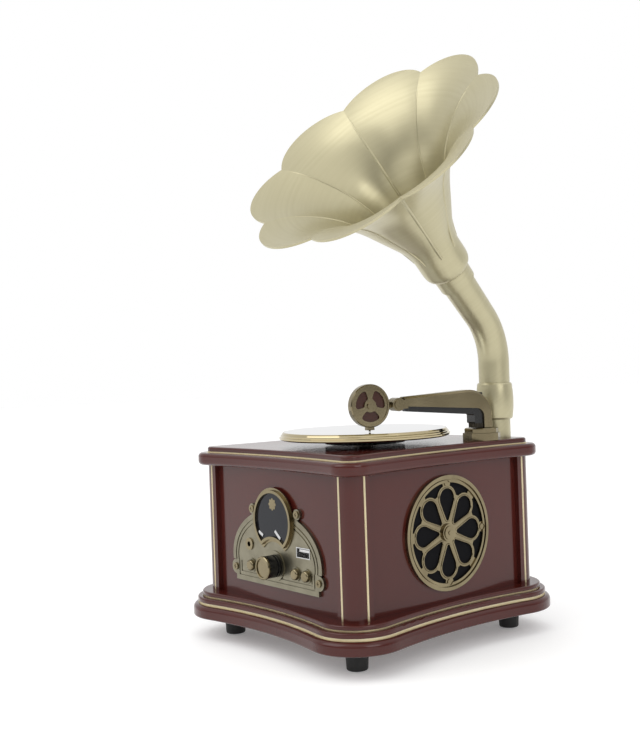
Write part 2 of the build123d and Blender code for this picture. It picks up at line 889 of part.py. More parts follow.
for side, word in ((1, "right"), (-1, "left")):
    with BuildPart() as grille:
        with BuildSketch(side_plane(side, side_face)):
            Circle(grille_radius)
            with BuildSketch(side_plane(side, side_face), mode=Mode.PRIVATE) as openings:
                Circle(web_radius)
                Circle(spandrel_start, mode=Mode.SUBTRACT)
                with BuildSketch(side_plane(side, side_face), mode=Mode.PRIVATE) as frames:
                    for angle in petal_angles:
                        teardrop(angle, petal_frame)
                        with Locations(Location((screw_circle * cos(angle), screw_circle * sin(angle)))):
                            Circle(pad_half)
                add(frames.sketch_local, mode=Mode.SUBTRACT)
                for angle in petal_angles:
                    teardrop(angle, 0)
            add(openings.sketch_local, mode=Mode.SUBTRACT)
            with Locations(*screw_holes):
                Circle(grille_screw_radius, mode=Mode.SUBTRACT)
        extrude(amount=grille_web)
        with BuildSketch(side_plane(side, side_face + grille_web)):
            Circle(grille_radius)
            Circle(grille_radius - rim_outer_width, mode=Mode.SUBTRACT)
        extrude(amount=rim_height - grille_web)
        with BuildSketch(side_plane(side, side_face + grille_web)):
            Circle(rim_inner_radius)
            Circle(web_radius, mode=Mode.SUBTRACT)
        extrude(amount=rim_inner_height - grille_web)
        with BuildSketch(side_plane(side, side_face + grille_web)):
            with Locations(*screw_holes):
                Circle(grille_screw_head)
        extrude(amount=rim_height, mode=Mode.SUBTRACT)
        for radius, height in zip(finial_radii, finial_steps):
            with BuildSketch(side_plane(side, side_face)):
                Circle(radius)
            extrude(amount=height + grille_web)
    save(grille, f"{word}_grille")

    with BuildPart() as cloth:
        with BuildSketch(side_plane(side, side_face)):
            Circle(cloth_radius)
            with Locations(*screw_holes):
                Circle(grille_screw_radius, mode=Mode.SUBTRACT)
        extrude(amount=-cloth_thick)
    save(cloth, f"{word}_cloth")

    inside = side_face - panel_thick
    basket_plane = turned((side * inside, 0, grille_z), (-side, 0, 0), (0, 0, 1))
    with BuildPart() as basket:
        with BuildSketch(basket_plane):
            with BuildLine():
                Polyline(
                    (speaker_hole, 0),
                    (basket_radius, 0),
                    (basket_radius, basket_flange),
                    (speaker_hole + basket_wall, basket_flange),
                    (basket_back_radius, basket_depth),
                    (magnet_radius, basket_depth),
                    (magnet_radius, basket_depth + magnet_depth),
                    (0, basket_depth + magnet_depth),
                    (0, basket_depth - basket_wall),
                    (basket_back_radius - basket_wall, basket_depth - basket_wall),
                    (speaker_hole, basket_flange),
                    close=True,
                )
            make_face()
        revolve(axis=Axis((side * inside, 0, grille_z), (1, 0, 0)))
    save(basket, f"{word}_basket")

    with BuildPart() as cone:
        with BuildSketch(basket_plane):
            with BuildLine():
                Polyline(
                    (speaker_hole, 0),
                    (speaker_hole, cone_thick),
                    (cone_back_radius, cone_depth),
                    (0, cone_depth - dust_cap_rise),
                    (0, cone_depth - dust_cap_rise - cone_thick),
                    (cone_back_radius, cone_depth - 2 * cone_thick),
                    (speaker_hole - 2 * cone_thick, 0),
                    close=True,
                )
            make_face()
        revolve(axis=Axis((side * inside, 0, grille_z), (1, 0, 0)))
    save(cone, f"{word}_cone")

with BuildPart() as grille_screws:
    for side in (1, -1):
        with BuildSketch(side_plane(side, side_face + grille_web)):
            with Locations(*screw_holes):
                Circle(grille_screw_head)
        extrude(amount=grille_screw_head_height)
        with BuildSketch(side_plane(side, side_face + grille_web)):
            with Locations(*screw_holes):
                Circle(grille_screw_radius)
        extrude(amount=-grille_screw_length)
save(grille_screws, "grille_screws")

amp_z = plinth_z + hatch_thick + amp_lift
with BuildPart() as amplifier_board:
    with BuildSketch(Plane.XY.offset(amp_z)):
        Rectangle(2 * amp_half_x, 2 * amp_half_y)
    extrude(amount=board_thick)
    with BuildSketch(Plane.XY.offset(amp_z + board_thick)):
        with Locations(*capacitor_places):
            Circle(capacitor_radius)
    extrude(amount=capacitor_height)
save(amplifier_board, "amplifier_board")

with BuildPart() as heat_sink:
    with BuildSketch(Plane.XY.offset(amp_z + board_thick)):
        with Locations((0, heatsink_y)):
            Rectangle(2 * heatsink_half, 2 * heatsink_half)
    extrude(amount=heatsink_base)
    fin_pitch = (2 * heatsink_half - heatsink_fin) / (heatsink_count - 1)
    with BuildSketch(Plane.XY.offset(amp_z + board_thick + heatsink_base)):
        with Locations((0, heatsink_y)):
            with GridLocations(fin_pitch, 1, heatsink_count, 1):
                Rectangle(heatsink_fin, 2 * heatsink_half)
    extrude(amount=heatsink_height)
save(heat_sink, "heat_sink")

with BuildPart() as power_inlet:
    inlet_plane = turned((inlet_x, front_face, inlet_z), (0, 1, 0), (1, 0, 0))
    with BuildSketch(inlet_plane):
        with BuildLine():
            Polyline(
                (inlet_bore, inlet_flange_height),
                (inlet_flange, inlet_flange_height),
                (inlet_flange, 0),
                (inlet_barrel, 0),
                (inlet_barrel, -panel_thick - inlet_back),
                (0, -panel_thick - inlet_back),
                (0, inlet_flange_height - inlet_bore_depth + inlet_pin_length),
                (inlet_pin, inlet_flange_height - inlet_bore_depth + inlet_pin_length),
                (inlet_pin, inlet_flange_height - inlet_bore_depth),
                (inlet_bore, inlet_flange_height - inlet_bore_depth),
                close=True,
            )
        make_face()
    revolve(axis=Axis((inlet_x, front_face, inlet_z), (0, 1, 0)))
save(power_inlet, "power_inlet")


def lid_plane(x, y):
    """Plane for parts turned about an upright line, its y measured up from the lid."""
    return turned((x, y, lid_top), (0, 0, 1), (1, 0, 0))


def turn_about(x, y, points):
    """Adds a turned part from its outline in radius and height above the lid."""
    with BuildSketch(lid_plane(x, y)) as outline:
        with BuildLine():
            Polyline(*points, close=True)
        make_face()
    revolve(outline.sketch, axis=Axis((x, y, 0), (0, 0, 1)))


lid_depth = lid_top - lid_z
pan_top = platter_top - mirror_thick
ledge_radius = mirror_radius - ledge_width
pan_radius = mirror_radius + ledge_width

with BuildPart() as platter_rim:
    turn_about(
        platter_x,
        platter_y,
        (
            (pan_radius, platter_lift),
            *[(platter_radius + x, platter_lift + z) for x, z in rim_profile],
            (mirror_radius, platter_top),
            (mirror_radius, pan_top),
            (ledge_radius, pan_top),
            (ledge_radius, platter_lift + pan_height),
            (pan_radius, platter_lift + pan_height),
        ),
    )
save(platter_rim, "platter_rim")

with BuildPart() as platter_pan:
    turn_about(
        platter_x,
        platter_y,
        (
            (spindle_radius, platter_lift),
            (pan_radius, platter_lift),
            (pan_radius, platter_lift + pan_height),
            (ledge_radius, platter_lift + pan_height),
            (ledge_radius, pan_top),
            (spindle_radius, pan_top),
        ),
    )
save(platter_pan, "platter_pan")

with BuildPart() as mirror_disc:
    with BuildSketch(Plane.XY.offset(lid_top + pan_top)):
        with Locations((platter_x, platter_y)):
            Circle(mirror_radius)
    extrude(amount=mirror_thick)
save(mirror_disc, "mirror_disc")

with BuildPart() as toothed_disc:
    with BuildSketch(Plane.XY.offset(lid_top + platter_lift - toothed_thick)):
        teeth = []
        for k in range(2 * tooth_count):
            angle = pi * k / tooth_count
            radius = toothed_radius - (k % 2) * tooth_depth
            teeth.append((platter_x + radius * cos(angle), platter_y + radius * sin(angle)))
        with BuildLine():
            Polyline(*teeth, close=True)
        make_face()
        with Locations((platter_x, platter_y)):
            Circle(spindle_radius, mode=Mode.SUBTRACT)
    extrude(amount=toothed_thick)
save(toothed_disc, "toothed_disc")

with BuildPart() as platter_bush:
    turn_about(
        platter_x,
        platter_y,
        (
            (spindle_radius + run_gap, -lid_depth),
            (bush_radius, -lid_depth),
            (bush_radius, 0),
            (bush_flange, 0),
            (bush_flange, bush_flange_height),
            (spindle_radius + run_gap, bush_flange_height),
        ),
    )
save(platter_bush, "platter_bush")

with BuildPart() as platter_spindle:
    turn_about(
        platter_x,
        platter_y,
        (
            (0, pan_top),
            (spindle_radius, pan_top),
            (spindle_radius, platter_lift - toothed_thick),
            (spindle_collar, platter_lift - toothed_thick),
            (spindle_collar, bush_flange_height + thrust_gap),
            (spindle_radius, bush_flange_height + thrust_gap),
            (spindle_radius, -lid_depth - thrust_gap),
            (clip_radius, -lid_depth - thrust_gap),
            (clip_radius, -lid_depth - thrust_gap - clip_thick),
            (0, -lid_depth - thrust_gap - clip_thick),
        ),
    )
save(platter_spindle, "platter_spindle")

arm_dir = Vector(-sin(radians(arm_heading)), -cos(radians(arm_heading)), 0)
arm_side = Vector(-cos(radians(arm_heading)), sin(radians(arm_heading)), 0)
arm_origin = Vector(arm_x, arm_y, lid_top)


def arm_upright(offset=0.0):
    """Upright plane through the arm: x runs from the post to the soundbox, y is up."""
    return Plane(origin=arm_origin, x_dir=arm_dir, z_dir=arm_side).offset(offset)


def arm_flat(height):
    """Level plane at a height above the lid: x runs from the post to the soundbox."""
    return Plane(origin=arm_origin + Vector(0, 0, height), x_dir=arm_dir, z_dir=(0, 0, 1))


def cut_square(width, cut):
    """Adds a square with its four corners cut to the open sketch."""
    with BuildSketch(mode=Mode.PRIVATE) as square:
        Rectangle(width, width)
        chamfer(square.vertices(), cut)
    add(square.sketch_local)


foot_top = foot_low_height + foot_high_height
leg_start = foot_top + seat_gap
nut_roof = lid_depth - nut_pocket
nut_floor = nut_roof + foot_nut_height

with BuildPart() as arm_foot:
    with BuildSketch(arm_flat(0)):
        cut_square(foot_low_width, foot_cut_low)
    extrude(amount=foot_low_height)
    with BuildSketch(arm_flat(foot_low_height)):
        cut_square(foot_high_width, foot_cut_high)
    extrude(amount=foot_high_height)
    chamfer(arm_foot.edges().group_by(Axis.Z)[-1], 0.6)
    with BuildSketch(arm_flat(0)):
        Circle(foot_stud_radius)
    extrude(amount=-nut_floor)
    with BuildSketch(arm_flat(foot_top)):
        Circle(arm_shaft_radius + run_gap)
    extrude(amount=-foot_top - nut_floor, mode=Mode.SUBTRACT)
save(arm_foot, "arm_foot")

with BuildPart() as arm_nut:
    with BuildSketch(arm_flat(-nut_roof)):
        RegularPolygon(foot_nut_radius, 6)
        Circle(foot_stud_radius, mode=Mode.SUBTRACT)
    extrude(amount=-foot_nut_height)
save(arm_nut, "arm_nut")


def taper(start, at_start, end, at_end, place):
    """Straight line through two heights, read at a place along the arm."""
    return at_start + (at_end - at_start) * (place - start) / (end - start)


def under_at(place):
    return taper(leg_front, arm_under, arm_tip, arm_under_at_tip, place)


def arm_plan(inset):
    """Adds the arm's plan, wide at the post and narrow at the tip, to the open sketch."""
    with BuildLine() as plan:
        Polyline(
            (-leg_back, -leg_half + inset),
            (leg_front, -leg_half + inset),
            (arm_tip, -arm_tip_half + inset),
            (arm_tip, arm_tip_half - inset),
            (leg_front, leg_half - inset),
            (-leg_back, leg_half - inset),
            close=True,
        )
    make_face(plan.edges())


with BuildPart() as arm_channel:
    with BuildSketch(arm_upright(-leg_half)):
        with BuildLine():
            FilletPolyline(
                (leg_split, foot_top + foot_high_height),
                (leg_front, foot_top + foot_high_height),
                (leg_front, taper(leg_front, channel_under, arm_tip, channel_under_at_tip, leg_front)),
                (arm_tip - 1.5, channel_under_at_tip),
                (arm_tip - 1.5, arm_top_at_tip - channel_roof),
                (leg_split, arm_top - channel_roof),
                radius=0.9,
                close=True,
            )
        make_face()
    extrude(amount=2 * leg_half)
    with BuildSketch(arm_flat(0)):
        arm_plan(channel_inset)
    extrude(amount=arm_top, mode=Mode.INTERSECT)
save(arm_channel, "arm_channel")

def on_ridge(edge):
    """True for the long edges over the back and top of the arm."""
    place = arm_upright().to_local_coords(edge @ 0.5)
    high = place.Y > arm_under_at_tip + 2 or place.X < -leg_back / 2
    return high and abs(place.Z) > arm_tip_half and edge.length > elbow_inner


with BuildPart() as arm_shell:
    with BuildSketch(arm_upright(-leg_half)):
        with BuildLine():
            arm_back = FilletPolyline(
                (-leg_back, leg_start),
                (-leg_back, arm_top),
                (arm_tip, arm_top_at_tip),
                radius=elbow_outer,
            )
            arm_front = FilletPolyline(
                (leg_split, leg_start),
                (leg_split, arm_under - 0.6),
                (arm_tip, arm_under_at_tip),
                radius=elbow_inner,
            )
            Line((-leg_back, leg_start), (leg_split, leg_start))
            Line((arm_tip, arm_top_at_tip), (arm_tip, arm_under_at_tip))
        make_face()
    extrude(amount=2 * leg_half)
    with BuildSketch(arm_flat(0)):
        arm_plan(0)
    extrude(amount=arm_top, mode=Mode.INTERSECT)
    ridge = [e for e in arm_shell.edges() if on_ridge(e)]
    chamfer(ridge, arm_bevel)
    with BuildSketch(arm_upright(-knuckle_half)):
        with Locations((hinge_reach, hinge_rise)):
            Circle(knuckle_radius)
        with Locations(((hinge_reach + arm_tip - 3) / 2, hinge_rise)):
            Rectangle(hinge_reach - arm_tip + 3, 2 * neck_half_height + 2)
    extrude(amount=2 * knuckle_half)
    with BuildSketch(arm_upright(-tongue_half - tongue_gap)):
        with Locations((hinge_reach, hinge_rise)):
            Circle(knuckle_radius + tongue_gap + 1)
    extrude(amount=2 * (tongue_half + tongue_gap), mode=Mode.SUBTRACT)
    with BuildSketch(arm_upright(-knuckle_half)):
        with Locations((hinge_reach, hinge_rise)):
            Circle(pin_radius)
    extrude(amount=2 * knuckle_half, mode=Mode.SUBTRACT)
    add(arm_channel.part, mode=Mode.SUBTRACT)
save(arm_shell, "arm_shell")

with BuildPart() as arm_column:
    with BuildSketch(arm_flat(leg_start)):
        with Locations(((leg_split + leg_front) / 2, 0)):
            Rectangle(leg_front - leg_split, 2 * (leg_half - channel_inset))
        with Locations((leg_front, 0)):
            with GridLocations(1, 2 * (leg_half - channel_inset) / flute_count, 1, flute_count):
                Circle(flute_radius, mode=Mode.SUBTRACT)
        with Locations(((leg_split + leg_front) / 2, 0)):
            with GridLocations(2 * flute_radius + 1, 2 * (leg_half - channel_inset), 3, 2):
                Circle(flute_radius, mode=Mode.SUBTRACT)
    extrude(amount=foot_top + foot_high_height - leg_start)
    with BuildSketch(arm_flat(leg_start)):
        with Locations((0, 0)):
            Circle(arm_shaft_radius, mode=Mode.ADD)
    extrude(amount=-leg_start - nut_floor - thrust_gap - clip_thick)
    with BuildSketch(arm_flat(-nut_floor - thrust_gap)):
        Circle(arm_clip_radius)
    extrude(amount=-clip_thick)
save(arm_column, "arm_column")

with BuildPart() as knuckle_pin:
    with BuildSketch(arm_upright(-knuckle_half - pin_head_thick)):
        with Locations((hinge_reach, hinge_rise)):
            Circle(pin_head_radius)
    extrude(amount=pin_head_thick)
    with BuildSketch(arm_upright(knuckle_half)):
        with Locations((hinge_reach, hinge_rise)):
            Circle(pin_head_radius)
    extrude(amount=pin_head_thick)
    with BuildSketch(arm_upright(-knuckle_half)):
        with Locations((hinge_reach, hinge_rise)):
            Circle(pin_radius)
    extrude(amount=2 * knuckle_half)
save(knuckle_pin, "knuckle_pin")

with BuildPart() as soundbox_arm:
    with BuildSketch(arm_upright(-tongue_half)):
        with Locations((hinge_reach, hinge_rise)):
            Circle(knuckle_radius)
        with Locations(((hinge_reach + soundbox_reach - soundbox_radius) / 2 + 1, hinge_rise)):
            Rectangle(soundbox_reach - soundbox_radius - hinge_reach + 2, 2 * neck_half_height)
        with Locations((soundbox_reach, hinge_rise)):
            Circle(soundbox_radius, mode=Mode.SUBTRACT)
        with Locations((hinge_reach, hinge_rise)):
            Circle(pin_radius + run_gap, mode=Mode.SUBTRACT)
    extrude(amount=2 * tongue_half)
save(soundbox_arm, "soundbox_arm")

with BuildPart() as soundbox_shell:
    with BuildSketch(arm_upright(-soundbox_half)):
        with Locations((soundbox_reach, hinge_rise)):
            Circle(soundbox_radius)
    extrude(amount=2 * soundbox_half)
    chamfer(soundbox_shell.edges().filter_by(GeomType.CIRCLE), 0.6)
    with BuildSketch(arm_upright(-soundbox_half)):
        with Locations((soundbox_reach, hinge_rise)):
            Circle(soundbox_radius - soundbox_rim)
    extrude(amount=soundbox_recess, mode=Mode.SUBTRACT)
save(soundbox_shell, "soundbox_shell")

face_back = -soundbox_half + face_sink + face_thick
with BuildPart() as soundbox_face:
    with BuildSketch(arm_upright(face_back)):
        with Locations((soundbox_reach, hinge_rise)):
            Circle(soundbox_radius - soundbox_rim)
        for middle in (-90, 30, 150):
            first, last = radians(middle - window_half_span), radians(middle + window_half_span)
            centre = radians(middle)
            marks = []
            for radius, angle in (
                (window_inner, first),
                (window_inner, centre),
                (window_inner, last),
                (window_outer, last),
                (window_outer, centre),
                (window_outer, first),
            ):
                marks.append((soundbox_reach + radius * cos(angle), hinge_rise + radius * sin(angle)))
            with BuildSketch(mode=Mode.PRIVATE) as window:
                with BuildLine():
                    ThreePointArc(marks[0], marks[1], marks[2])
                    Line(marks[2], marks[3])
                    ThreePointArc(marks[3], marks[4], marks[5])
                    Line(marks[5], marks[0])
                make_face()
                fillet(window.vertices(), window_round)
            add(window.sketch_local, mode=Mode.SUBTRACT)
    extrude(amount=-face_thick)
    with BuildSketch(arm_upright(face_back - face_thick)):
        with Locations((soundbox_reach, hinge_rise)):
            Circle(boss_radius)
    extrude(amount=-boss_height)
save(soundbox_face, "soundbox_face")

with BuildPart() as soundbox_diaphragm:
    with BuildSketch(arm_upright(face_back)):
        with Locations((soundbox_reach, hinge_rise)):
            Circle(soundbox_radius - soundbox_rim)
    extrude(amount=diaphragm_thick)
save(soundbox_diaphragm, "soundbox_diaphragm")

needle_z = platter_top + stylus_gap
with BuildPart() as stylus:
    with BuildSketch(arm_upright(-stylus_depth / 2)):
        stylus_top = hinge_rise - soundbox_radius + stylus_overlap
        with Locations((soundbox_reach, (stylus_top + needle_z + needle_length) / 2)):
            Rectangle(stylus_width, stylus_top - needle_z - needle_length)
        with Locations((soundbox_reach, hinge_rise)):
            Circle(soundbox_radius, mode=Mode.SUBTRACT)
    extrude(amount=stylus_depth)
    with BuildSketch(arm_flat(needle_z)):
        with Locations((soundbox_reach, 0)):
            Circle(needle_radius)
    extrude(amount=needle_length)
save(stylus, "stylus")

with BuildPart() as horn_socket:
    turn_about(
        horn_x,
        horn_y,
        (
            (0, -nut_floor),
            (socket_tail, -nut_floor),
            (socket_tail, 0),
            (socket_radius, 0),
            (socket_radius, socket_height),
            (neck_radius - neck_wall - run_gap, socket_height),
            (neck_radius - neck_wall - run_gap, socket_height + spigot_height),
            (socket_bore, socket_height + spigot_height),
            (socket_bore, 0),
            (0, 0),
        ),
    )
save(horn_socket, "horn_socket")

with BuildPart() as socket_ring:
    with BuildSketch(Plane.XY.offset(lid_top - nut_roof)):
        with Locations((horn_x, horn_y)):
            RegularPolygon(socket_nut, 6)
            Circle(socket_tail, mode=Mode.SUBTRACT)
    extrude(amount=-socket_nut_height)
save(socket_ring, "socket_ring")

neck_start = socket_height + seat_gap
with BuildPart() as horn_sleeve:
    with BuildSketch(lid_plane(horn_x, horn_y)):
        with BuildLine():
            sleeve_top = neck_start + sleeve_length
            ThreePointArc(
                (sleeve_radius, neck_start + 1),
                (sleeve_radius + sleeve_bulge, neck_start + sleeve_length / 2),
                (sleeve_radius, sleeve_top - 1),
            )
            Polyline(
                (sleeve_radius, sleeve_top - 1),
                (sleeve_radius - 0.6, sleeve_top),
                (neck_radius, sleeve_top),
                (neck_radius, neck_start),
                (sleeve_radius - 0.6, neck_start),
                (sleeve_radius, neck_start + 1),
            )
        make_face()
    revolve(axis=Axis((horn_x, horn_y, 0), (0, 0, 1)))
save(horn_sleeve, "horn_sleeve")

heading, pitch = radians(horn_heading), radians(horn_pitch)
horn_dir = Vector(sin(heading) * cos(pitch), -cos(heading) * cos(pitch), sin(pitch))
horn_across = Vector(cos(heading), sin(heading), 0)
horn_ahead = Vector(sin(heading), -cos(heading), 0)
bend_point = Vector(horn_x, horn_y, lid_top + bend_corner)
mouth_point = bend_point + horn_dir * bell_reach


def horn_plane(distance):
    """Plane across the horn, this far behind the notches of its mouth."""
    return Plane(origin=mouth_point - horn_dir * distance, x_dir=horn_across, z_dir=horn_dir)


bend_side = Plane(origin=(horn_x, horn_y, lid_top), x_dir=horn_ahead, z_dir=-horn_across)
bend_turn = pi / 2 - pitch
bend_length = bend_radius * tan(bend_turn / 2)
elbow_end = bell_length - collar_length
bend_end = bell_reach - bend_length

with BuildPart() as horn_elbow:
    with BuildLine(bend_side):
        l1 = Line((0, neck_start), (0, bend_corner - bend_length))
        l2 = JernArc(l1 @ 1, l1 % 1, bend_radius, -90 + horn_pitch)
    with BuildSketch(Plane(origin=(horn_x, horn_y, lid_top + neck_start), z_dir=(0, 0, 1))):
        Circle(neck_radius)
        Circle(neck_radius - neck_wall, mode=Mode.SUBTRACT)
    sweep()
    with BuildSketch(horn_plane(bend_end)):
        Circle(neck_radius)
    with BuildSketch(horn_plane(elbow_end)):
        Circle(neck_end_radius)
    loft()
    with BuildSketch(horn_plane(bend_end)):
        Circle(neck_radius - neck_wall)
    with BuildSketch(horn_plane(elbow_end)):
        Circle(neck_end_radius - neck_wall)
    loft(mode=Mode.SUBTRACT)
save(horn_elbow, "horn_elbow")


def bell_section(distance, radius):
    """Adds a plan of eight shallow arcs between the ribs of the bell."""
    crown = radius + petal_bulge * 2.718 ** (-max(distance, 0) / bulge_length)
    turn = 2 * pi / bell_petals
    with BuildLine() as ring:
        for k in range(bell_petals):
            ThreePointArc(
                (radius * cos(k * turn), radius * sin(k * turn)),
                (crown * cos((k + 0.5) * turn), crown * sin((k + 0.5) * turn)),
                (radius * cos((k + 1) * turn), radius * sin((k + 1) * turn)),
            )
    make_face(ring.edges())


def rib_plane(angle):
    """Plane through the horn's axis: x along the axis, y out towards one rib."""
    outwards = horn_plane(0).x_dir.rotate(Axis((0, 0, 0), horn_dir), angle * 180 / pi)
    return Plane(origin=mouth_point, x_dir=horn_dir, z_dir=horn_dir.cross(outwards))


inner_profile = []
for k, (distance, radius) in enumerate(bell_profile):
    before = bell_profile[max(k - 1, 0)]
    after = bell_profile[min(k + 1, len(bell_profile) - 1)]
    slope = (before[1] - after[1]) / (after[0] - before[0])
    inner_profile.append((distance, radius - bell_wall * sqrt(1 + slope**2)))

turn = 2 * pi / bell_petals
with BuildPart() as horn_bell:
    for distance, radius in bell_profile:
        with BuildSketch(horn_plane(distance)):
            bell_section(distance, radius)
    loft()
    for distance, radius in inner_profile:
        with BuildSketch(horn_plane(distance)):
            bell_section(distance, radius)
    loft(mode=Mode.SUBTRACT)
    for k in range(bell_petals):
        with BuildLine(rib_plane(k * turn)) as rib_line:
            Spline(*[(-distance, radius - bell_wall / 2) for distance, radius in bell_profile[3:-1]])
        rib_end = rib_line.line @ 0
        with BuildSketch(Plane(origin=rib_end, z_dir=rib_line.line % 0)):
            Circle(rib_radius)
        sweep(path=rib_line.line)
    with BuildSketch(horn_plane(bell_length)):
        with BuildLine():
            for k in range(bell_petals):
                ThreePointArc(
                    (notch_radius * cos(k * turn), notch_radius * sin(k * turn)),
                    (tip_radius * cos((k + 0.5) * turn), tip_radius * sin((k + 0.5) * turn)),
                    (notch_radius * cos((k + 1) * turn), notch_radius * sin((k + 1) * turn)),
                )
        make_face()
    extrude(amount=bell_length + 10, mode=Mode.INTERSECT)
    with BuildSketch(horn_plane(bell_length)):
        Circle(collar_end_radius)
    with BuildSketch(horn_plane(elbow_end)):
        Circle(collar_start_radius)
    loft()
    with BuildSketch(horn_plane(bell_length)):
        Circle(neck_end_radius)
    extrude(amount=collar_length, mode=Mode.SUBTRACT)
save(horn_bell, "horn_bell")
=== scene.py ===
# %% [markdown]
# # A tabletop gramophone
# The real one has a lacquered wooden cabinet with brass fittings, a mirror platter, a brass
# tonearm and a horn with eight petals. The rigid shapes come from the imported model, so this
# lesson doesn't build them again: it dresses them. It makes the finishes, then the gilt
# lines, the beads of the grilles and the small pieces of the display, and at the end the
# studio and the camera that matches the photograph.

# %% Frame
import json
import math

import bpy
from mathutils import Matrix, Vector


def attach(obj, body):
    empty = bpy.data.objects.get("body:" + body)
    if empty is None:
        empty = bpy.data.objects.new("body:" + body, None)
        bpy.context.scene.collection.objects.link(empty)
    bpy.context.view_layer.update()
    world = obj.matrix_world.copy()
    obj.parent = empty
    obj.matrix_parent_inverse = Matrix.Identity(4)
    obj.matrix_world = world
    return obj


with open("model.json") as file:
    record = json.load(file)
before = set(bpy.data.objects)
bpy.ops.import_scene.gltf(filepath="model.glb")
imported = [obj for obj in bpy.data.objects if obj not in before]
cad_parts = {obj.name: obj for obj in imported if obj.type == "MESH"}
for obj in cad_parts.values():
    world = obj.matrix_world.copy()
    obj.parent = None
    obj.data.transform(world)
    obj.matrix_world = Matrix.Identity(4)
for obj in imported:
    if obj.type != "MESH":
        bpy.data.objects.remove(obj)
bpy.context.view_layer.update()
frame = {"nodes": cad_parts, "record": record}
nodes = frame["nodes"]
MM = 0.001
print(len(nodes), "nodes loaded")

# %% [markdown]
# ## One call for each node
# A shader or a geometry tree is a set of small nodes and the links between them. Written out,
# every node takes a line for each socket. One helper that adds a node, sets it and links it
# keeps the trees below as short as they look in the editor.


# %% Node helpers
def add(tree, kind, inputs=None, **settings):
    """Adds a node, sets its properties, then its input values or links by name."""
    node = tree.nodes.new(kind)
    for key, value in settings.items():
        setattr(node, key, value)
    for key, value in (inputs or {}).items():
        if isinstance(value, bpy.types.NodeSocket):
            tree.links.new(value, node.inputs[key])
        else:
            node.inputs[key].default_value = value
    return node


def mix_colours(tree, factor, first, second):
    """A Mix node set to colours, whose sockets go by number. Returns its result."""
    node = add(tree, "ShaderNodeMix", {0: factor, 6: first, 7: second}, data_type="RGBA")
    return node.outputs[2]


def rgba(colour):
    """A linear colour with full alpha."""
    return (*colour, 1.0)


def grey(level):
    """A neutral colour."""
    return (level, level, level)


# %% [markdown]
# ## A shared effect
# Real metal and lacquer are never one even colour. The wear could be painted by hand, but soft
# noise does it for the whole object at once. It mixes two colours and two roughnesses inside
# one node group, and each finish gives the group its own numbers.


# %% Patina group
def patina_group():
    """Group that breaks up a colour and a roughness with noise in object space."""
    group = bpy.data.node_groups.new("Patina", "ShaderNodeTree")
    face = group.interface
    for name, kind in (
        ("Colour", "NodeSocketColor"),
        ("Deep Colour", "NodeSocketColor"),
        ("Scale", "NodeSocketFloat"),
        ("Amount", "NodeSocketFloat"),
        ("Smooth", "NodeSocketFloat"),
        ("Rough", "NodeSocketFloat"),
    ):
        face.new_socket(name, in_out="INPUT", socket_type=kind)
    face.new_socket("Colour", in_out="OUTPUT", socket_type="NodeSocketColor")
    face.new_socket("Roughness", in_out="OUTPUT", socket_type="NodeSocketFloat")
    start = add(group, "NodeGroupInput")
    place = add(group, "ShaderNodeTexCoord")
    noise = add(
        group,
        "ShaderNodeTexNoise",
        {"Vector": place.outputs["Object"], "Scale": start.outputs["Scale"], "Detail": 4.0},
    )
    weight = add(
        group,
        "ShaderNodeMath",
        {0: noise.outputs["Fac"], 1: start.outputs["Amount"]},
        operation="MULTIPLY",
    )
    rough = add(
        group,
        "ShaderNodeMapRange",
        {
            "Value": noise.outputs["Fac"],
            "To Min": start.outputs["Smooth"],
            "To Max": start.outputs["Rough"],
        },
    )
    colour = mix_colours(
        group, weight.outputs[0], start.outputs["Colour"], start.outputs["Deep Colour"]
    )
    add(group, "NodeGroupOutput", {"Colour": colour, "Roughness": rough.outputs["Result"]})
    return group


patina = patina_group()
print(patina.name, "with", len(patina.nodes), "nodes")

# %% [markdown]
# ## How a finish is made
# Every finish starts as a Principled shader, because it stays readable and exports well. A
# plain one is only numbers. An aged one gets its colour and gloss from the patina group, and
# fine relief is added where a finger would feel it: grain, cast metal, rubber or weave.


# %% Material helpers
def shader_of(material):
    """The Principled node of a material."""
    return material.node_tree.nodes["Principled BSDF"]


def new_material(name, metallic, colour, roughness, **inputs):
    """A Principled material. Other inputs are named with _ where Blender has a space."""
    material = bpy.data.materials.new(name)
    material.use_nodes = True
    values = {"Base_Color": rgba(colour), "Metallic": metallic, "Roughness": roughness, **inputs}
    for key, value in values.items():
        shader_of(material).inputs[key.replace("_", " ")].default_value = value
    return material


def aged_material(name, metallic, light, deep, scale, amount, roughness, **inputs):
    """A material with the patina group in front of its colour and its roughness."""
    smooth, rough = roughness
    material = new_material(name, metallic, light, smooth, **inputs)
    tree, shader = material.node_tree, shader_of(material)
    values = {
        "Colour": rgba(light),
        "Deep Colour": rgba(deep),
        "Scale": scale,
        "Amount": amount,
        "Smooth": smooth,
        "Rough": rough,
    }
    node = add(tree, "ShaderNodeGroup", values, node_tree=patina)
    tree.links.new(node.outputs["Colour"], shader.inputs["Base Color"])
    tree.links.new(node.outputs["Roughness"], shader.inputs["Roughness"])
    return material


def add_bump(material, scale, distance, stretch=(1, 1, 1)):
    """Fine relief from noise: its scale, its depth in metres and its stretch by axis."""
    tree = material.node_tree
    place = add(tree, "ShaderNodeTexCoord")
    mapping = add(
        tree, "ShaderNodeMapping", {"Vector": place.outputs["Object"], "Scale": stretch}
    )
    noise = add(
        tree,
        "ShaderNodeTexNoise",
        {"Vector": mapping.outputs["Vector"], "Scale": scale, "Detail": 3.0},
    )
    bump = add(
        tree,
        "ShaderNodeBump",
        {"Height": noise.outputs["Fac"], "Strength": 1.0, "Distance": distance},
    )
    tree.links.new(bump.outputs["Normal"], shader_of(material).inputs["Normal"])


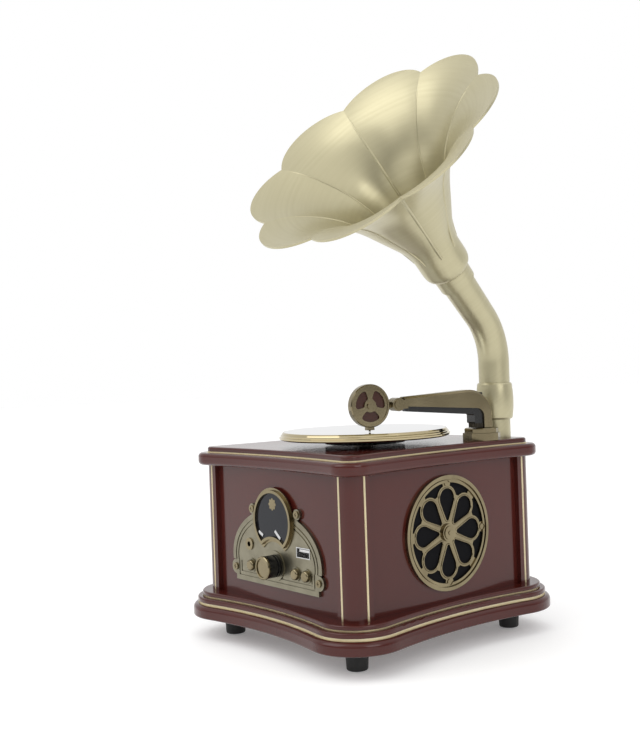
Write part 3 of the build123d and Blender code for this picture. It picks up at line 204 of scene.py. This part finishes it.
# %% [markdown]
# ## Lacquered wood
# The cabinet is a dark red-brown wood under a thin glossy lacquer. The grain hardly shows, so
# faint relief that is drawn out along Z does for it, and a thin clear coat gives the gloss.
# A low specular level keeps the red from turning grey under the large soft lights.

# %% Wood
lacquer = aged_material(
    "lacquer",
    metallic=0.0,
    light=(0.074, 0.0125, 0.0088),
    deep=(0.046, 0.0078, 0.0058),
    scale=11.0,
    amount=0.9,
    roughness=(0.14, 0.26),
    Coat_Weight=0.3,
    Coat_Roughness=0.05,
    Specular_IOR_Level=0.22,
)
add_bump(lacquer, scale=60.0, distance=0.00004, stretch=(1, 1, 0.12))
print("made", lacquer.name)

# %% [markdown]
# ## Brass and the other metals
# The fittings are antique brass: a real metal, darker in its patches and a little uneven to
# the touch. The control plate is the same metal with a duller and greyer skin, and only the
# platter's rim is polished. The gilt lines are paint with metal flakes, so they are only
# partly metallic. The tonearm's column is nearly black, and the hidden screws are steel.

# %% Metals
gilt = aged_material(
    "gilt",
    metallic=0.55,
    light=(0.74, 0.66, 0.45),
    deep=(0.58, 0.49, 0.30),
    scale=90.0,
    amount=0.8,
    roughness=(0.30, 0.45),
)
brass = aged_material(
    "antique brass",
    metallic=1.0,
    light=(0.29, 0.245, 0.15),
    deep=(0.12, 0.095, 0.055),
    scale=60.0,
    amount=0.8,
    roughness=(0.12, 0.26),
)
add_bump(brass, scale=900.0, distance=0.000015)
aged_plate = aged_material(
    "aged plate",
    metallic=1.0,
    light=(0.27, 0.25, 0.185),
    deep=(0.14, 0.125, 0.085),
    scale=120.0,
    amount=0.8,
    roughness=(0.24, 0.38),
)
add_bump(aged_plate, scale=1400.0, distance=0.00004)
bright_brass = new_material(
    "polished brass", metallic=1.0, colour=(0.46, 0.39, 0.24), roughness=0.07
)
dark_metal = aged_material(
    "dark metal",
    metallic=0.9,
    light=(0.055, 0.048, 0.038),
    deep=(0.028, 0.024, 0.018),
    scale=90.0,
    amount=0.8,
    roughness=(0.16, 0.30),
)
steel = aged_material(
    "steel",
    metallic=1.0,
    light=grey(0.58),
    deep=grey(0.44),
    scale=160.0,
    amount=0.7,
    roughness=(0.20, 0.34),
)
for material in (gilt, brass, aged_plate, bright_brass, dark_metal, steel):
    print("made", material.name)

# %% [markdown]
# ## Plastic, rubber and cloth
# The feet are soft black rubber. The channel under the tonearm, the toothed disc, the volume
# knob and the power inlet are black plastic. Behind the grilles lies black cloth, which should
# swallow the light, so that the petals read as openings. The soundbox holds a red-brown disc
# with a slight sheen.

# %% Plastic, rubber and cloth
black = aged_material(
    "black plastic",
    metallic=0.0,
    light=grey(0.005),
    deep=grey(0.010),
    scale=140.0,
    amount=0.8,
    roughness=(0.20, 0.32),
)
rubber = aged_material(
    "black rubber",
    metallic=0.0,
    light=(0.007, 0.007, 0.007),
    deep=(0.014, 0.014, 0.013),
    scale=180.0,
    amount=0.9,
    roughness=(0.50, 0.72),
)
add_bump(rubber, scale=1200.0, distance=0.00004)
cloth = new_material(
    "speaker cloth",
    metallic=0.0,
    colour=(0.006, 0.006, 0.007),
    roughness=0.9,
    Specular_IOR_Level=0.1,
)
add_bump(cloth, scale=2500.0, distance=0.0001)
red_brown = aged_material(
    "red-brown disc",
    metallic=0.2,
    light=(0.06, 0.018, 0.010),
    deep=(0.035, 0.010, 0.007),
    scale=120.0,
    amount=0.8,
    roughness=(0.12, 0.24),
)
print("made", black.name, rubber.name, cloth.name, red_brown.name)

# %% [markdown]
# ## What is inside
# The bottom board, the circuit boards and the speaker cones show only from below or when the
# part is taken to pieces, so they get quiet finishes of the usual colours.

# %% Boards and cones
green = aged_material(
    "circuit board",
    metallic=0.0,
    light=(0.02, 0.11, 0.045),
    deep=(0.012, 0.07, 0.03),
    scale=220.0,
    amount=0.8,
    roughness=(0.42, 0.58),
)
board = aged_material(
    "brown board",
    metallic=0.0,
    light=(0.12, 0.065, 0.038),
    deep=(0.075, 0.036, 0.02),
    scale=260.0,
    amount=1.0,
    roughness=(0.6, 0.8),
)
paper = new_material("cone paper", metallic=0.0, colour=grey(0.01), roughness=0.85)
add_bump(paper, scale=700.0, distance=0.00008)
print("made", green.name, board.name, paper.name)

# %% [markdown]
# ## Mirror and glass
# The platter carries a round mirror, which is a metal with almost no roughness. The display's
# glass is black and glossy, and nothing behind it shows, so it needs no transmission.

# %% Mirror and glass
mirror = new_material("mirror", metallic=1.0, colour=(0.66, 0.67, 0.68), roughness=0.01)
window = new_material(
    "display glass",
    metallic=0.0,
    colour=(0.006, 0.007, 0.011),
    roughness=0.06,
    Specular_IOR_Level=0.25,
)
print("made", mirror.name, window.name)

# %% [markdown]
# ## The brushed horn
# The horn is satin champagne gold. It is spun on a lathe, so its fine lines run in rings round
# its axis. A picture of scratches would need an unwrapped surface. Instead, the distance along
# the axis and the distance from the middle of the mouth place the lines, so they follow the
# bell from the wide rim down to the narrow neck.

# %% Horn axis
HORN_FOOT = Vector((60.5, 74.5, 211.5))
HORN_HEADING, HORN_PITCH = math.radians(6.6), math.radians(42.5)
BELL_REACH = 173.8
HORN_DIR = Vector(
    (
        math.sin(HORN_HEADING) * math.cos(HORN_PITCH),
        -math.cos(HORN_HEADING) * math.cos(HORN_PITCH),
        math.sin(HORN_PITCH),
    )
)
MOUTH = HORN_FOOT + HORN_DIR * BELL_REACH
print("the mouth's middle is at", [round(value, 1) for value in MOUTH])


# %% Brushed horn
def brushed_material(name, metallic, light, deep, scale, roughness, depth):
    """A metal with rings of slightly different colour and gloss round the horn's axis."""
    smooth, rough = roughness
    material = new_material(name, metallic, light, smooth)
    tree, shader = material.node_tree, shader_of(material)
    place = add(tree, "ShaderNodeTexCoord")
    offset = add(
        tree,
        "ShaderNodeVectorMath",
        {0: place.outputs["Object"], 1: MOUTH * MM},
        operation="SUBTRACT",
    )
    along = add(
        tree, "ShaderNodeVectorMath", {0: offset.outputs[0], 1: HORN_DIR}, operation="DOT_PRODUCT"
    )
    reach = add(tree, "ShaderNodeVectorMath", {0: offset.outputs[0]}, operation="LENGTH")
    rings = add(
        tree, "ShaderNodeCombineXYZ", {"X": along.outputs["Value"], "Y": reach.outputs["Value"]}
    )
    fine = add(
        tree, "ShaderNodeTexNoise", {"Vector": rings.outputs[0], "Scale": scale, "Detail": 3.0}
    )
    colour = mix_colours(tree, fine.outputs["Fac"], rgba(light), rgba(deep))
    gloss = add(
        tree,
        "ShaderNodeMapRange",
        {"Value": fine.outputs["Fac"], "To Min": smooth, "To Max": rough},
    )
    bump = add(tree, "ShaderNodeBump", {"Height": fine.outputs["Fac"], "Distance": depth})
    tree.links.new(colour, shader.inputs["Base Color"])
    tree.links.new(gloss.outputs["Result"], shader.inputs["Roughness"])
    tree.links.new(bump.outputs["Normal"], shader.inputs["Normal"])
    return material


champagne = brushed_material(
    "champagne gold",
    metallic=0.68,
    light=(0.50, 0.46, 0.30),
    deep=(0.44, 0.40, 0.255),
    scale=420.0,
    roughness=(0.28, 0.40),
    depth=0.00003,
)
print("made", champagne.name)

# %% [markdown]
# ## Finishes on the nodes
# Each node of the model says which material it is made of, so one table dresses all of them.
# Three nodes look different from what their material says, and are set by name after it.

# %% Finishes on the nodes
by_slot = {
    "lacquered_wood": lacquer,
    "antique_brass": brass,
    "polished_brass": bright_brass,
    "champagne_gold": champagne,
    "mirror_glass": mirror,
    "black_plastic": black,
    "black_rubber": rubber,
    "black_cloth": cloth,
    "dark_glass": window,
    "steel": steel,
    "circuit_board": green,
    "aluminium": steel,
    "board": board,
    "speaker_paper": paper,
    "diaphragm_red": red_brown,
}
for entry in frame["record"]["subparts"]:
    slots = nodes[entry["node"]].data.materials
    slots.clear()
    slots.append(by_slot[entry["material_slot"]])
nodes["control_plate"].data.materials[0] = aged_plate
nodes["arm_column"].data.materials[0] = dark_metal
nodes["soundbox_face"].data.materials[0] = brass

# %% [markdown]
# ## From points to a piece
# The small pieces below have simple forms, so their points and faces are worked out in plain
# Python and handed to Blender as a mesh, in metres, with the object left at the origin.


# %% Mesh helper
def new_mesh(name, points, faces, material):
    """A flat-shaded mesh object at the origin with its points in metres."""
    mesh = bpy.data.meshes.new(name)
    mesh.from_pydata([tuple(p) for p in points], [], faces)
    mesh.validate()
    mesh.update()
    mesh.shade_flat()
    mesh.materials.append(material)
    thing = bpy.data.objects.new(name, mesh)
    bpy.context.collection.objects.link(thing)
    print(name, len(mesh.polygons), "faces")
    return thing


# %% [markdown]
# ## Gilt lines
# Thin painted bands follow the coves of the plinth, the foot of the lid's step and the
# grooves of the posts. They could be painted with a mask in the lacquer, but a strip of mesh
# keeps their edges sharp. The plinth and the lid share one plan: a round lobe at each corner
# and a hollow side between two lobes, all arcs that run into each other without a kink.


# %% Plan of the plinth and the lid
def lobed_plan(half_x, half_y, radius, hollow, inset, steps=16):
    """Points of the plan with four lobes and hollow sides, drawn inset, in millimetres."""
    lobe_x, lobe_y = half_x - radius, half_y - radius
    rise = radius - hollow
    # The hollow arcs of the sides at X and at Y, each of the radius that touches two lobes.
    arc_x = (hollow**2 + lobe_y**2) / (2 * hollow) - radius
    arc_y = (hollow**2 + lobe_x**2) / (2 * hollow) - radius

    def hollow_side(half, lobe, arc):
        """Points of one side between its lobes: along the side, and out from the middle."""
        start, reach = math.atan2(lobe, arc + rise), arc + inset
        places = []
        for k in range(1, steps):
            angle = start * (1 - 2 * k / steps)
            out = half - hollow + arc - reach * math.cos(angle)
            places.append((reach * math.sin(angle), out))
        return places

    first, last = math.atan2(-lobe_y, arc_x + rise), math.atan2(arc_y + rise, -lobe_x)
    reach = radius - inset
    corner = []
    for k in range(steps + 1):
        angle = first + (last - first) * k / steps
        corner.append((lobe_x + reach * math.cos(angle), lobe_y + reach * math.sin(angle)))
    back = hollow_side(half_y, lobe_x, arc_y)
    side = [(out, along) for along, out in hollow_side(half_x, lobe_y, arc_x)]
    half = corner + back + [(-x, y) for x, y in reversed(corner)]
    full = half + [(-x, y) for x, y in side]
    return full + [(-x, -y) for x, y in half] + [(x, -y) for x, y in side]


def band(points, faces, lower, upper):
    """Adds a closed strip between two rings of (x, y, z) points of equal length."""
    base, count = len(points), len(lower)
    points += lower + upper
    for k in range(count):
        n = (k + 1) % count
        faces.append((base + k, base + n, base + count + n, base + count + k))


# %% [markdown]
# Each line on a plan is a flat tread and a low riser in a cove. It is written as rings, each
# with how far it lies inside the plan and how high it lies, and strips join the rings.

# %% Lines round the plinth and the lid
PLINTH = {"half_x": 100.0, "half_y": 102.5, "radius": 32.5, "hollow": 7.0}
LID = {"half_x": 90.2, "half_y": 92.7, "radius": 15.0, "hollow": 4.8}
PLAN_LINES = (
    (PLINTH, ((3.46, 24.24), (4.44, 24.24), (4.44, 26.0))),
    (PLINTH, ((7.0, 29.24), (7.94, 29.24), (7.94, 30.2))),
    (LID, ((5.7, 132.64), (6.95, 132.64), (6.95, 133.3))),
)
points, faces = [], []
for plan, rings in PLAN_LINES:
    lines = []
    for inset, z in rings:
        lines.append([(x * MM, y * MM, z * MM) for x, y in lobed_plan(**plan, inset=inset)])
    for lower, upper in zip(lines, lines[1:]):
        band(points, faces, lower, upper)
print(len(faces), "faces in the lines round the plinth and the lid")

# %% [markdown]
# The corner posts have a narrow groove on each outer face. Its line is a shallow V that lies
# a hair above the groove's walls, so that the two surfaces don't fight in the render. The
# numbers are in millimetres: where the posts' outer faces lie, how far in from the corner the
# groove runs, half its width, its depth, and its ends.

# %% Lines in the posts
POST_X, POST_Y = 83.8, 86.3
GROOVE_INSET, GROOVE_HALF, GROOVE_DEPTH = 11.6, 0.8, 0.8
GROOVE_LOW, GROOVE_HIGH = 33.05, 123.75
LIFT = 0.04
for sx in (1, -1):
    for sy in (1, -1):
        for along_x in (True, False):
            line = []
            for across, deep in ((-GROOVE_HALF, 0), (0, GROOVE_DEPTH), (GROOVE_HALF, 0)):
                if along_x:
                    x, y = POST_X - GROOVE_INSET + across, POST_Y - deep + LIFT
                else:
                    x, y = POST_X - deep + LIFT, POST_Y - GROOVE_INSET + across
                line.append((sx * x * MM, sy * y * MM))
            base = len(points)
            for z in (GROOVE_LOW, GROOVE_HIGH):
                points += [(x, y, z * MM) for x, y in line]
            for k in range(2):
                faces.append((base + k, base + k + 1, base + 4 + k, base + 3 + k))
gilt_lines = new_mesh("gilt_lines", points, faces, gilt)
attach(gilt_lines, "cabinet")

# %% [markdown]
# ## Beads of the rosettes
# Each pierced petal of the side grilles has a raised round edge. A Geometry Nodes tree turns
# one drawn petal into a bead, repeats it round the middle and puts it on the grille, so the
# number of petals and the bead's size are two inputs and no petal is drawn twice.


# %% Bead tree
def bead_tree():
    """Geometry Nodes tree: one outline becomes a ring of beads on an upright plane."""
    tree = bpy.data.node_groups.new("Petal beads", "GeometryNodeTree")
    face = tree.interface
    face.new_socket("Geometry", in_out="INPUT", socket_type="NodeSocketGeometry")
    for name, kind in (
        ("Count", "NodeSocketInt"),
        ("Bead Radius", "NodeSocketFloat"),
        ("Place", "NodeSocketVector"),
        ("Turn", "NodeSocketVector"),
        ("Material", "NodeSocketMaterial"),
    ):
        face.new_socket(name, in_out="INPUT", socket_type=kind)
    face.new_socket("Geometry", in_out="OUTPUT", socket_type="NodeSocketGeometry")
    start = add(tree, "NodeGroupInput")
    line = add(tree, "GeometryNodeMeshToCurve", {"Mesh": start.outputs["Geometry"]})
    round_profile = add(
        tree,
        "GeometryNodeCurvePrimitiveCircle",
        {"Radius": start.outputs["Bead Radius"], "Resolution": 10},
    )
    bead = add(
        tree,
        "GeometryNodeCurveToMesh",
        {"Curve": line.outputs["Curve"], "Profile Curve": round_profile.outputs["Curve"]},
    )
    spots = add(
        tree, "GeometryNodeMeshLine", {"Count": start.outputs["Count"], "Offset": (0, 0, 0)}
    )
    index = add(tree, "GeometryNodeInputIndex")
    step = add(
        tree, "ShaderNodeMath", {0: 2 * math.pi, 1: start.outputs["Count"]}, operation="DIVIDE"
    )
    angle = add(
        tree, "ShaderNodeMath", {0: index.outputs[0], 1: step.outputs[0]}, operation="MULTIPLY"
    )
    spin = add(tree, "ShaderNodeCombineXYZ", {"Z": angle.outputs[0]})
    ring = add(
        tree,
        "GeometryNodeInstanceOnPoints",
        {
            "Points": spots.outputs["Mesh"],
            "Instance": bead.outputs["Mesh"],
            "Rotation": spin.outputs[0],
        },
    )
    solid = add(tree, "GeometryNodeRealizeInstances", {"Geometry": ring.outputs["Instances"]})
    placed = add(
        tree,
        "GeometryNodeTransform",
        {
            "Geometry": solid.outputs["Geometry"],
            "Translation": start.outputs["Place"],
            "Rotation": start.outputs["Turn"],
        },
    )
    painted = add(
        tree,
        "GeometryNodeSetMaterial",
        {"Geometry": placed.outputs["Geometry"], "Material": start.outputs["Material"]},
    )
    add(tree, "NodeGroupOutput", {"Geometry": painted.outputs["Geometry"]})
    return tree


beads = bead_tree()
print(beads.name, "with", len(beads.nodes), "nodes")

# %% [markdown]
# The tree needs one petal to work on: a teardrop of two arcs, the large one outside, with
# straight flanks that touch both. Its sizes are millimetres from the middle of the rosette.
# The tree's result is copied to a plain mesh, so that each piece is ordinary faces at the end.

# %% Petal beads
PETALS = 8
PETAL = {"far": 22.8, "far_radius": 7.3, "near": 9.6, "near_radius": 1.9}
BEAD_RADIUS = 0.6
GRILLE_FACE, GRILLE_MIDDLE = 81.25, 78.4


def petal_outline(far, far_radius, near, near_radius, steps=18):
    """Points of one petal: a large round end and a small one, joined by tangents."""
    lean = math.acos((far_radius - near_radius) / (far - near))
    points = []
    for k in range(2 * steps + 1):
        angle = (math.pi - lean) * (k / steps - 1)
        points.append((far + far_radius * math.cos(angle), far_radius * math.sin(angle), 0))
    for k in range(steps + 1):
        angle = math.pi - lean + 2 * lean * k / steps
        points.append((near + near_radius * math.cos(angle), near_radius * math.sin(angle), 0))
    return [Vector(p) * MM for p in points]


def ring_of_beads(name, side):
    """Runs the bead tree for the grille on one side and keeps a plain mesh."""
    outline = petal_outline(**PETAL)
    mesh = bpy.data.meshes.new(name + "_line")
    edges = [(k, (k + 1) % len(outline)) for k in range(len(outline))]
    mesh.from_pydata(outline, edges, [])
    source = bpy.data.objects.new(name + "_line", mesh)
    bpy.context.collection.objects.link(source)
    modifier = source.modifiers.new("beads", "NODES")
    modifier.node_group = beads
    values = {
        "Count": PETALS,
        "Bead Radius": BEAD_RADIUS * MM,
        "Place": (side * GRILLE_FACE * MM, 0, GRILLE_MIDDLE * MM),
        "Turn": (0, side * math.pi / 2, 0),
        "Material": brass,
    }
    for item in beads.interface.items_tree:
        if item.in_out == "INPUT" and item.name in values:
            modifier[item.identifier] = values[item.name]
    ready = source.evaluated_get(bpy.context.evaluated_depsgraph_get())
    result = bpy.data.meshes.new_from_object(ready)
    bpy.data.objects.remove(source)
    result.shade_smooth()
    thing = bpy.data.objects.new(name, result)
    bpy.context.collection.objects.link(thing)
    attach(thing, "cabinet")
    print(name, len(result.polygons), "faces")


ring_of_beads("right_petal_beads", 1)
ring_of_beads("left_petal_beads", -1)

# %% [markdown]
# ## The display
# The dark round display carries a small rosette. Two bright steel slivers at the lower edge of
# its glass are a painted highlight: they stand where the bezel's inner bevel catches the light.
# Both are flat shapes with a thickness, so one helper stands an outline up and gives it a
# front, a back and an edge. The rosette is a generic ornament with the same number of petals
# as the grilles. Both pieces start a little behind the face of the glass, so that no gap shows,
# and stand out from it by their own thickness.


# %% Upright slab
def upright_slab(points, faces, outline, low_y, high_y):
    """Adds a slab that stands in the front: an outline of (x, z) between two depths."""
    base, count = len(points), len(outline)
    points += [(x * MM, -low_y * MM, z * MM) for x, z in outline]
    points += [(x * MM, -high_y * MM, z * MM) for x, z in outline]
    faces.append(tuple(range(base + count, base + 2 * count)))
    faces.append(tuple(reversed(range(base, base + count))))
    for k in range(count):
        n = (k + 1) % count
        faces.append((base + k, base + n, base + count + n, base + count + k))


# %% Rosette of the display
GLASS = 85.7
SUNK = 0.05
DISPLAY_X, DISPLAY_Z = 0.8, 100.6
ROSETTE_HEART, ROSETTE_PETAL, ROSETTE_THICK, ROSETTE_STEPS = 3.1, 1.1, 0.12, 96
points, faces, rosette = [], [], []
for k in range(ROSETTE_STEPS):
    angle = 2 * math.pi * k / ROSETTE_STEPS
    reach = ROSETTE_HEART + ROSETTE_PETAL * abs(math.cos(PETALS / 2 * angle))
    rosette.append((DISPLAY_X + reach * math.cos(angle), DISPLAY_Z + reach * math.sin(angle)))
upright_slab(points, faces, rosette, GLASS - SUNK, GLASS + ROSETTE_THICK)
emblem = new_mesh("display_rosette", points, faces, brass)
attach(emblem, "cabinet")

# %% [markdown]
# Each painted highlight is a small turned steel rectangle that stands in for the light on the
# bezel's inner bevel: its middle, half its length, half its width and its lean in degrees.

# %% Painted highlights on the bevel
# Painted highlight: two steel slivers stand where the bezel's inner bevel catches the light; they
# are not clips.
BEVEL_HIGHLIGHTS = ((-12.6, 79.9, 2.6, 1.0, -28), (6.6, 80.6, 3.8, 1.0, -40))
HIGHLIGHT_THICK = 0.7
SQUARE = ((-1, -1), (1, -1), (1, 1), (-1, 1))
points, faces = [], []
for x, z, half_long, half_wide, lean in BEVEL_HIGHLIGHTS:
    cosine, sine = math.cos(math.radians(lean)), math.sin(math.radians(lean))
    outline = []
    for u, v in SQUARE:
        u, v = u * half_long, v * half_wide
        outline.append((x + u * cosine - v * sine, z + u * sine + v * cosine))
    upright_slab(points, faces, outline, GLASS - SUNK, GLASS + HIGHLIGHT_THICK)
# The steel slivers are a painted highlight of the bevel, not clips that hold the glass.
bevel_highlight_mesh = new_mesh("painted_bevel_highlights", points, faces, steel)
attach(bevel_highlight_mesh, "cabinet")

# %% [markdown]
# ## Studio floor
# The photograph is a product shot on white. A large pale floor catches the soft shadow, and
# it glows a little so that it runs into the white behind it without an edge.

# %% Studio floor
FLOOR_HALF, FLOOR_Z = 6, -0.0004
floor_material = new_material(
    "floor",
    metallic=0.0,
    colour=grey(0.9),
    roughness=0.9,
    Emission_Color=(1, 1, 1, 1),
    Emission_Strength=0.18,
)
floor = new_mesh(
    "floor",
    [(FLOOR_HALF * x, FLOOR_HALF * y, FLOOR_Z) for x, y in SQUARE],
    [(0, 1, 2, 3)],
    floor_material,
)

# %% [markdown]
# ## Studio room
# Polished metal shows what stands round it, and in an all-white room it would look like
# chalk. So the room is bright above and dark at eye level on the side that the photograph is
# taken from, pale on the far side, and plain white where the camera looks at it directly. The
# shades are pairs of a height, from 0 below to 1 above, and the grey found there.

# %% Studio room
FRONT_SIDE = (0.755, -0.655, 0.0)
FRONT_EDGE = 0.35
FAR_GREY, WHITE = 0.95, 1.0
SHADES = ((0.0, 0.5), (0.46, 0.16), (0.54, 0.12), (0.66, 0.55), (0.80, 1.1), (1.0, 1.25))
world = bpy.data.worlds.new("studio")
bpy.context.scene.world = world
world.use_nodes = True
sky = world.node_tree
direction = add(sky, "ShaderNodeTexCoord")
height = add(sky, "ShaderNodeSeparateXYZ", {0: direction.outputs["Generated"]})
level = add(
    sky,
    "ShaderNodeMapRange",
    {"Value": height.outputs["Z"], "From Min": -1.0, "From Max": 1.0},
)
shades = add(sky, "ShaderNodeValToRGB", {"Fac": level.outputs["Result"]})
stops = shades.color_ramp.elements
for position, _ in SHADES[1:-1]:
    stops.new(position)
for stop, (position, shade) in zip(stops, SHADES):
    stop.position, stop.color = position, rgba(grey(shade))
facing = add(
    sky,
    "ShaderNodeVectorMath",
    {0: direction.outputs["Generated"], 1: FRONT_SIDE},
    operation="DOT_PRODUCT",
)
front_side = add(
    sky,
    "ShaderNodeMapRange",
    {"Value": facing.outputs["Value"], "From Min": -FRONT_EDGE, "From Max": FRONT_EDGE},
)
room = mix_colours(
    sky, front_side.outputs["Result"], rgba(grey(FAR_GREY)), shades.outputs["Color"]
)
seen = add(sky, "ShaderNodeLightPath")
choice = mix_colours(sky, seen.outputs["Is Camera Ray"], room, rgba(grey(WHITE)))
sky.links.new(choice, sky.nodes["Background"].inputs["Color"])
sky.nodes["Background"].inputs["Strength"].default_value = 1.0
print("the room has", len(stops), "shades from the floor to the ceiling")

# %% [markdown]
# ## Studio lights
# A large lamp over the left shoulder is the key light and gives the shadow on the right. A
# smaller one on the right fills the side with the grille.


# %% Studio lights
def soft_light(name, place, aim, size, power):
    """A square area light that looks at a point."""
    data = bpy.data.lights.new(name, "AREA")
    data.size = size
    data.energy = power
    lamp = bpy.data.objects.new(name, data)
    bpy.context.collection.objects.link(lamp)
    lamp.location = place
    lamp.rotation_euler = (Vector(place) - Vector(aim)).to_track_quat("Z", "Y").to_euler()
    print(name, power, "W")


soft_light("key", place=(-0.5, -1.5, 1.5), aim=(0, 0, 0.2), size=1.6, power=13)
soft_light("fill", place=(1.7, -0.2, 0.9), aim=(0, 0, 0.15), size=1.0, power=7)

# %% [markdown]
# ## Camera
# The place, turn and lens come from a fit to the photograph's edges. The camera's axes are
# worked out as three vectors, because the photograph is also rolled by two degrees, and a
# small shift moves the frame without turning the camera.

# %% Camera
CAMERA_PLACE = (0.5672, -0.4916, 0.1906)
CAMERA_TURN, CAMERA_TILT, CAMERA_ROLL = 49.08, -0.08, 1.935
scene = bpy.context.scene
camera_data = bpy.data.cameras.new("camera")
camera = bpy.data.objects.new("camera", camera_data)
bpy.context.collection.objects.link(camera)
scene.camera = camera
turn, tilt, roll = (math.radians(angle) for angle in (CAMERA_TURN, CAMERA_TILT, CAMERA_ROLL))
back = Vector((math.sin(turn) * math.cos(tilt), -math.cos(turn) * math.cos(tilt), math.sin(tilt)))
right = Vector((math.cos(turn), math.sin(turn), 0))
up = back.cross(right)
axis_x = right * math.cos(roll) - up * math.sin(roll)
axis_y = right * math.sin(roll) + up * math.cos(roll)
axes = Matrix((axis_x, axis_y, back)).transposed().to_4x4()
camera.matrix_world = Matrix.Translation(CAMERA_PLACE) @ axes
camera_data.lens = 57.84
camera_data.sensor_width = 36
camera_data.sensor_fit = "HORIZONTAL"
camera_data.shift_x, camera_data.shift_y = -0.067, -0.0103
scene.view_settings.view_transform = "Standard"
print("camera at", CAMERA_PLACE, "with a lens of", round(camera_data.lens, 2), "mm")
